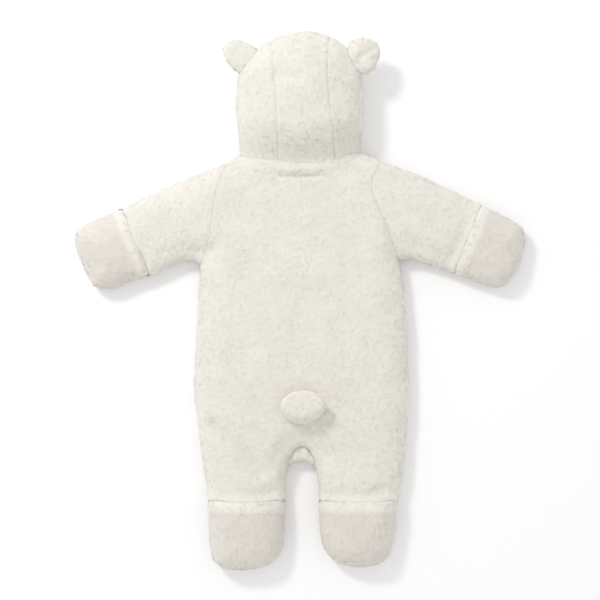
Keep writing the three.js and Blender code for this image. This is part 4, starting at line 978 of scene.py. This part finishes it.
# Padded ears and gusset
HOOD_MIDDLE = np.array([0.0, 262.0])
EARS = dict(
    left=dict(low=0.87, high=0.14, side_low=[(-86, 296)], side_high=[(-65, 327.5)],
              tip_low=(-94.5, 306), tip_high=(-81, 333), tip=[(-98.6, 319), (-92, 330)]),
    right=dict(low=0.83, high=0.9, side_low=[(86, 290)], side_high=[(65.5, 330)],
               tip_low=(96, 297), tip_high=(80, 335.5), tip=[(102.5, 315), (97, 330)]))
EAR = dict(middle=43.0, rise=10.5, fall=10.0, softness=15.0, seat_reach=16.0)
EAR_FOLDS = np.array([
    (72, 303, 93, 320, 2.2, 4.2),
    (78, 299, 98, 310, 1.8, 3.4),
    (64, 306, 84, 331, -1.2, 6.0),
])
GUSSET_FOLDS = np.array([
    (-9, -203, -14, -216, 2.2, 2.6),
    (1, -193, -3, -207, 1.4, 2.4),
    (12, -201, 15, -214, 1.8, 2.4),
    (6, -196, 4, -212, -1.2, 3.0),
])
GUSSET = dict(middle=11.0, rise=9.5, fall=10.0, softness=9.0, low=-215.0, taper=2.5, arch=4.0)


def pad(quilt, upper_root, lower_root, tip, side_a, side_b, form, folds=None):
    """Domed above and below a middle height, thin along tip and sides, with an upright root."""
    lines = segments([Edge(*side_a), Edge(*tip), Edge(*side_b)], 2.0)

    def share(points):
        return rounding(np.maximum(distance(points, lines) - 0.12, 0) / form["softness"])

    def upper(points):
        relief = 0 if folds is None else fold_depth(folds, points) * share(points)
        return form["middle"] + form["rise"] * share(points) - relief

    def lower(points):
        return form["middle"] - form["fall"] * share(points)

    quilt.add(coons(upper_root, tip, side_a, side_b), upper, True)
    quilt.add(coons(lower_root, tip, side_a, side_b), lower, False)
    base = np.column_stack([upper_root, upper(upper_root)])
    foot = np.column_stack([lower_root, lower(lower_root)])
    return base, foot


def close_root(quilt, base, foot):
    """Joins the two root rows with an upright face, turned to suit the surfaces it meets."""
    count = len(base)
    ids = np.arange(2 * count).reshape(2, count) + quilt.count
    quads = np.stack([ids[0, :-1], ids[0, 1:], ids[1, 1:], ids[1, :-1]], -1)
    quilt.points.append(np.vstack([base, foot]))
    quilt.count += 2 * count
    points, faces = quilt.sewn()
    _, _, ids_all = np.unique(np.round(np.vstack(quilt.points) * 500), axis=0, return_index=True,
                              return_inverse=True)
    sewn_quads = ids_all.reshape(-1)[quads]
    edges = set(map(tuple, border_edges(faces, len(points))))
    middle = sewn_quads[count // 2]
    turn = (middle[0], middle[1]) in edges
    quilt.quads.append(quads[:, ::-1] if turn else quads)


def ear(side):
    shape = EARS[side]
    edge, end = (hood_left, 0) if side == "left" else (hood_right, 1)
    root_line = span(edge.part(shape["low"], 1), hood_top.part(end, shape["high"]))
    steps = np.linspace(0, 1, 29)
    outline = root_line.sample(steps)
    tip = Edge(shape["tip_low"], *shape["tip"], shape["tip_high"]).sample(steps)
    along = np.linspace(0, 1, 18) ** 0.8
    side_a = Edge(outline[0], *shape["side_low"], shape["tip_low"]).sample(along)
    side_b = Edge(outline[-1], *shape["side_high"], shape["tip_high"]).sample(along)
    inwards = (HOOD_MIDDLE - outline) / np.linalg.norm(HOOD_MIDDLE - outline, axis=1)[:, None]
    seat = outline + inwards * (9.0 * np.sin(np.pi * steps) ** 0.5)[:, None]
    quilt = Quilt()
    folds = EAR_FOLDS if side == "right" else None
    base, foot = pad(quilt, seat, outline, tip, side_a, side_b, EAR, folds)
    close_root(quilt, base, foot)
    return quilt


def gusset():
    keep = [edge.path[(edge.path[:, 1] > GUSSET["low"]) & (edge.path[:, 1] < CROTCH[1] + 1)]
            for edge in (leg_left[1], leg_right[0])]
    arch = Edge(*np.vstack([keep[0][::-1][::8], keep[1][::8][1:]]))
    steps = np.linspace(0, 1, 33)
    root = arch.sample(steps)
    low_a, low_b = ((root[0, 0] + GUSSET["taper"], GUSSET["low"]), (root[-1, 0] - GUSSET["taper"], GUSSET["low"]))
    tip = lerp(np.array(low_a), np.array(low_b), steps[:, None])
    tip[:, 1] += GUSSET["arch"] * (1 - (2 * steps - 1) ** 2)
    along = np.linspace(0, 1, 9)
    side_a = lerp(root[0], np.array(low_a), along[:, None])
    side_b = lerp(root[-1], np.array(low_b), along[:, None])
    quilt = Quilt()
    base, foot = pad(quilt, root, root, tip, side_a, side_b, GUSSET, GUSSET_FOLDS)
    close_root(quilt, base, foot)
    return quilt


# Tail
TAIL = dict(x=3.0, y=-147.0, width=55.0, length=36.0, height=28.5, lean=0.6, foot=0.78, edge=0.36)


def tail():
    """Knob: a superellipse turned about its height h, wider above, leaning towards the hood."""
    rings, around = 34, 84
    phi = np.linspace(0, math.pi, rings)[:, None]
    theta = np.linspace(0, 2 * math.pi, around, endpoint=False)[None, :]
    h = 0.5 - 0.5 * np.sign(np.cos(phi)) * np.abs(np.cos(phi)) ** TAIL["edge"]
    r = np.sin(phi) ** TAIL["edge"] * lerp(TAIL["foot"], 1.0, smooth(0, 0.75, h))
    x = TAIL["x"] + TAIL["width"] / 2 * r * np.cos(theta)
    z = TORSO_CROWN - 1.5 + TAIL["height"] * h + 0 * theta
    y = TAIL["y"] + TAIL["length"] / 2 * r * np.sin(theta) + TAIL["lean"] * (z - TORSO_CROWN)
    grid = np.dstack([x, y, z])
    quilt = Quilt()
    body = grid[1:-1].reshape(-1, 3)
    poles = np.array([grid[0, 0], grid[-1, 0]])
    quilt.points = [np.vstack([body, poles])]
    ids = np.arange(len(body)).reshape(rings - 2, around)
    right = np.roll(ids, -1, axis=1)
    quilt.quads = [np.stack([ids[:-1], right[:-1], right[1:], ids[1:]], -1).reshape(-1, 4)]
    low, high = len(body), len(body) + 1
    caps = [np.stack([right[0], ids[0], np.full(around, low), np.full(around, low)], -1),
            np.stack([ids[-1], right[-1], np.full(around, high), np.full(around, high)], -1)]
    quilt.quads += caps
    return quilt


PRESSED = 2.5         # below this height the pile is pressed flat and stands in no locks


def above_floor(points):
    return points[:, 2] > PRESSED


def outside_covers(points):
    """True where a point isn't pressed to the floor or in a limb's end inside its cover."""
    return above_floor(points) & (tuck(points[:, :2], "reach", TUCK_START + 2, TUCK_END) < 1e-6)


# The garment's pieces: smooth area in square metres, wall, materials, seam groove
FLEECE = ("fleece", [pile_cloth, lining_cloth])
COVER = ("fleece_cover", [cover_cloth, lining_cloth])
BODY_GROOVE = (SEAMS, 0.25, 2.2)
HOOD_GROOVE = (HOOD_SEAMS, 0.55, 2.2)
quilts = dict(
    back_panel=(back_panel(), None), front_left=(front_panel(True), None),
    front_right=(front_panel(False), None), sleeve_left=(sleeve(sleeve_left, armhole_left), None),
    sleeve_right=(sleeve(sleeve_right, armhole_right), None),
    mitt_left=cover_pocket(COVERS["mitt_left"]), mitt_right=cover_pocket(COVERS["mitt_right"]),
    bootie_left=cover_pocket(COVERS["bootie_left"]), bootie_right=cover_pocket(COVERS["bootie_right"]),
    hood_centre=(hood_centre(), None), hood_side_left=(hood_side(True), None),
    hood_side_right=(hood_side(False), None))
WALLS = dict(back_panel="body", front_left="body", front_right="body", sleeve_left="sleeve",
             sleeve_right="sleeve", mitt_left="mitt", mitt_right="mitt", bootie_left="bootie",
             bootie_right="bootie", hood_centre="hood", hood_side_left="hood", hood_side_right="hood")
LOCK_DENSITY = dict(front_left=0.04, front_right=0.04)
measured = {}
for seed, (name, (quilt, hem)) in enumerate(quilts.items()):
    wall = WALLS[name]
    groove = HOOD_GROOVE if wall == "hood" else BODY_GROOVE
    slot, cloths = COVER if wall in ("mitt", "bootie") else FLEECE
    parts = shell(quilt, WALL[wall], groove, hem)
    measured[name] = round(parts["area"], 4)
    piece = add_piece(f"{name}_pile", parts, cloths)
    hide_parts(name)
    free = above_floor if slot == "fleece_cover" else outside_covers
    curls = locks(parts["skin"], LOCK_DENSITY.get(name, 0.075), 100 + seed, free)
    tufts = add_piece(f"{name}_locks", curls, [LOCK_CLOTH[slot]])

for seed, (name, quilt, share) in enumerate((
        ("ear_left", ear("left"), 0.8), ("ear_right", ear("right"), 0.8),
        ("crotch_gusset", gusset(), 0.6), ("tail", tail(), 0.8))):
    parts = closed(quilt, share)
    piece = add_piece(f"{name}_pile", parts, [pile_cloth])
    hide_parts(name)
    curls = locks(parts["skin"], 0.08, 200 + seed, above_floor, length=3.4)
    add_piece(f"{name}_locks", curls, [LOCK_CLOTH["fleece"]])
print("smooth areas in square metres", measured)

# Zip on the hidden front: woven tape, two rows of teeth, and the metal of slider and pull
ZIP = dict(top=168.0, bottom=-188.5, stop=-158.0, slider_foot=149.4)
TAPE_PROFILE = [(-8.0, 5.5), (-5.0, 5.35), (-1.4, 5.0), (-0.3, 5.3), (0.3, 5.3), (1.4, 5.0),
                (5.0, 5.35), (8.0, 5.5), (8.0, 6.4), (-8.0, 6.4)]
TOOTH = dict(pitch=2.4, length=1.25, past=0.6, root=2.2, low=3.6, high=5.2)


def zip_tape():
    """The two stringers as one bar: the profile across, at even steps along the zip."""
    profile = np.array(TAPE_PROFILE)
    y = np.linspace(ZIP["bottom"], ZIP["top"], 140)
    count = len(profile)
    wave = 0.12 * np.sin(y / 7.0)[:, None]
    x = np.tile(ZIP_AXIS + profile[:, 0], (len(y), 1))
    points = np.stack([x, np.tile(y[:, None], (1, count)), profile[:, 1] + wave], -1).reshape(-1, 3)
    ids = np.arange(len(points)).reshape(len(y), count)
    turn = np.roll(ids, -1, axis=1)
    quads = np.stack([ids[:-1], turn[:-1], turn[1:], ids[1:]], -1).reshape(-1, 4)
    fan = np.array([(count - 1, k, k + 1) for k in range(count - 2)])
    tris = np.vstack([ids[0][fan[:, ::-1]], ids[-1][fan]])
    return dict(points=points, faces=quads, tris=tris, level=np.full(len(points), 0.5))


def zip_teeth():
    """Boxes in two rows that reach past the middle in turn, up to the slider's foot."""
    corner = np.array(list(np.ndindex(2, 2, 2)), float)
    sides = np.array([(0, 1, 3, 2), (4, 6, 7, 5), (0, 4, 5, 1), (2, 3, 7, 6), (0, 2, 6, 4), (1, 5, 7, 3)])
    blocks, faces = [], []
    for side, start in ((-1, 0.0), (1, 0.5)):
        low, high = sorted((side * TOOTH["root"], -side * TOOTH["past"]))
        rows = np.arange(ZIP["stop"] + start * TOOTH["pitch"], ZIP["slider_foot"] - TOOTH["length"],
                         TOOTH["pitch"])
        for y in rows:
            first = np.array([ZIP_AXIS + low, y, TOOTH["low"]])
            size = np.array([high - low, TOOTH["length"], TOOTH["high"] - TOOTH["low"]])
            faces.append(sides + 8 * len(blocks))
            blocks.append(first + corner * size)
    points = np.vstack(blocks)
    return dict(points=points, faces=np.vstack(faces), level=np.full(len(points), 0.5))


def metal_material():
    """Dull metal with a fine brushed variation in its roughness."""
    material = bpy.data.materials.new("dull_metal")
    material.use_nodes = True
    nodes, links = material.node_tree.nodes, material.node_tree.links
    shader = nodes["Principled BSDF"]
    shader.inputs["Base Color"].default_value = (0.62, 0.61, 0.59, 1)
    shader.inputs["Metallic"].default_value = 0.9
    place = nodes.new("ShaderNodeTexCoord")
    brush = nodes.new("ShaderNodeTexNoise")
    brush.inputs["Scale"].default_value = 700
    links.new(place.outputs["Object"], brush.inputs["Vector"])
    spread = nodes.new("ShaderNodeMapRange")
    spread.inputs["To Min"].default_value = 0.3
    spread.inputs["To Max"].default_value = 0.5
    links.new(brush.outputs["Fac"], spread.inputs["Value"])
    links.new(spread.outputs["Result"], shader.inputs["Roughness"])
    return material


metal = metal_material()
woven = colour_material("zip_tape_weave", (0.80, 0.775, 0.705), (0.78, 0.755, 0.685), 0.8, 2400, 0.5, 0.1)
tape = add_piece("zip_tape_woven", zip_tape(), [woven])
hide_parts("zip_tape")
teeth = add_piece("zip_teeth", zip_teeth(), [metal])
teeth.data.polygons.foreach_set("use_smooth", np.zeros(len(teeth.data.polygons), bool))
for name in ("zip_slider", "zip_pull"):
    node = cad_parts[name]
    node.data.materials.clear()
    node.data.materials.append(metal)

# Stage, light and camera
def stage_material():
    material = bpy.data.materials.new("floor_paper")
    material.use_nodes = True
    shader = material.node_tree.nodes["Principled BSDF"]
    shader.inputs["Base Color"].default_value = (0.97, 0.97, 0.975, 1)
    shader.inputs["Roughness"].default_value = 0.9
    return material


floor_mesh = bpy.data.meshes.new("floor")
floor_mesh.from_pydata([(-3, -3, 0), (3, -3, 0), (3, 3, 0), (-3, 3, 0)], [], [(0, 1, 2, 3)])
floor_mesh.materials.append(stage_material())
floor = bpy.data.objects.new("floor", floor_mesh)
bpy.context.scene.collection.objects.link(floor)

world = bpy.data.worlds.new("studio")
bpy.context.scene.world = world
world.use_nodes = True
world.node_tree.nodes["Background"].inputs["Color"].default_value = (1, 1, 1, 1)
world.node_tree.nodes["Background"].inputs["Strength"].default_value = 0.86

KEY_PLACE = (-1.15, 1.35, 1.7)
key = bpy.data.objects.new("key", bpy.data.lights.new("key", "AREA"))
key.data.shape = "DISK"
key.data.size = 0.45
key.data.energy = 19
key.location = KEY_PLACE
key.rotation_euler = (-Vector(KEY_PLACE)).to_track_quat("-Z", "Y").to_euler()
bpy.context.scene.collection.objects.link(key)

bpy.context.scene.view_settings.view_transform = "Standard"
camera = bpy.data.objects.new("camera", bpy.data.cameras.new("camera"))
camera.data.lens = 85
camera.data.sensor_width = 36
camera.location = (0.0, 0.00279, 1.857)
bpy.context.scene.collection.objects.link(camera)
bpy.context.scene.camera = camera
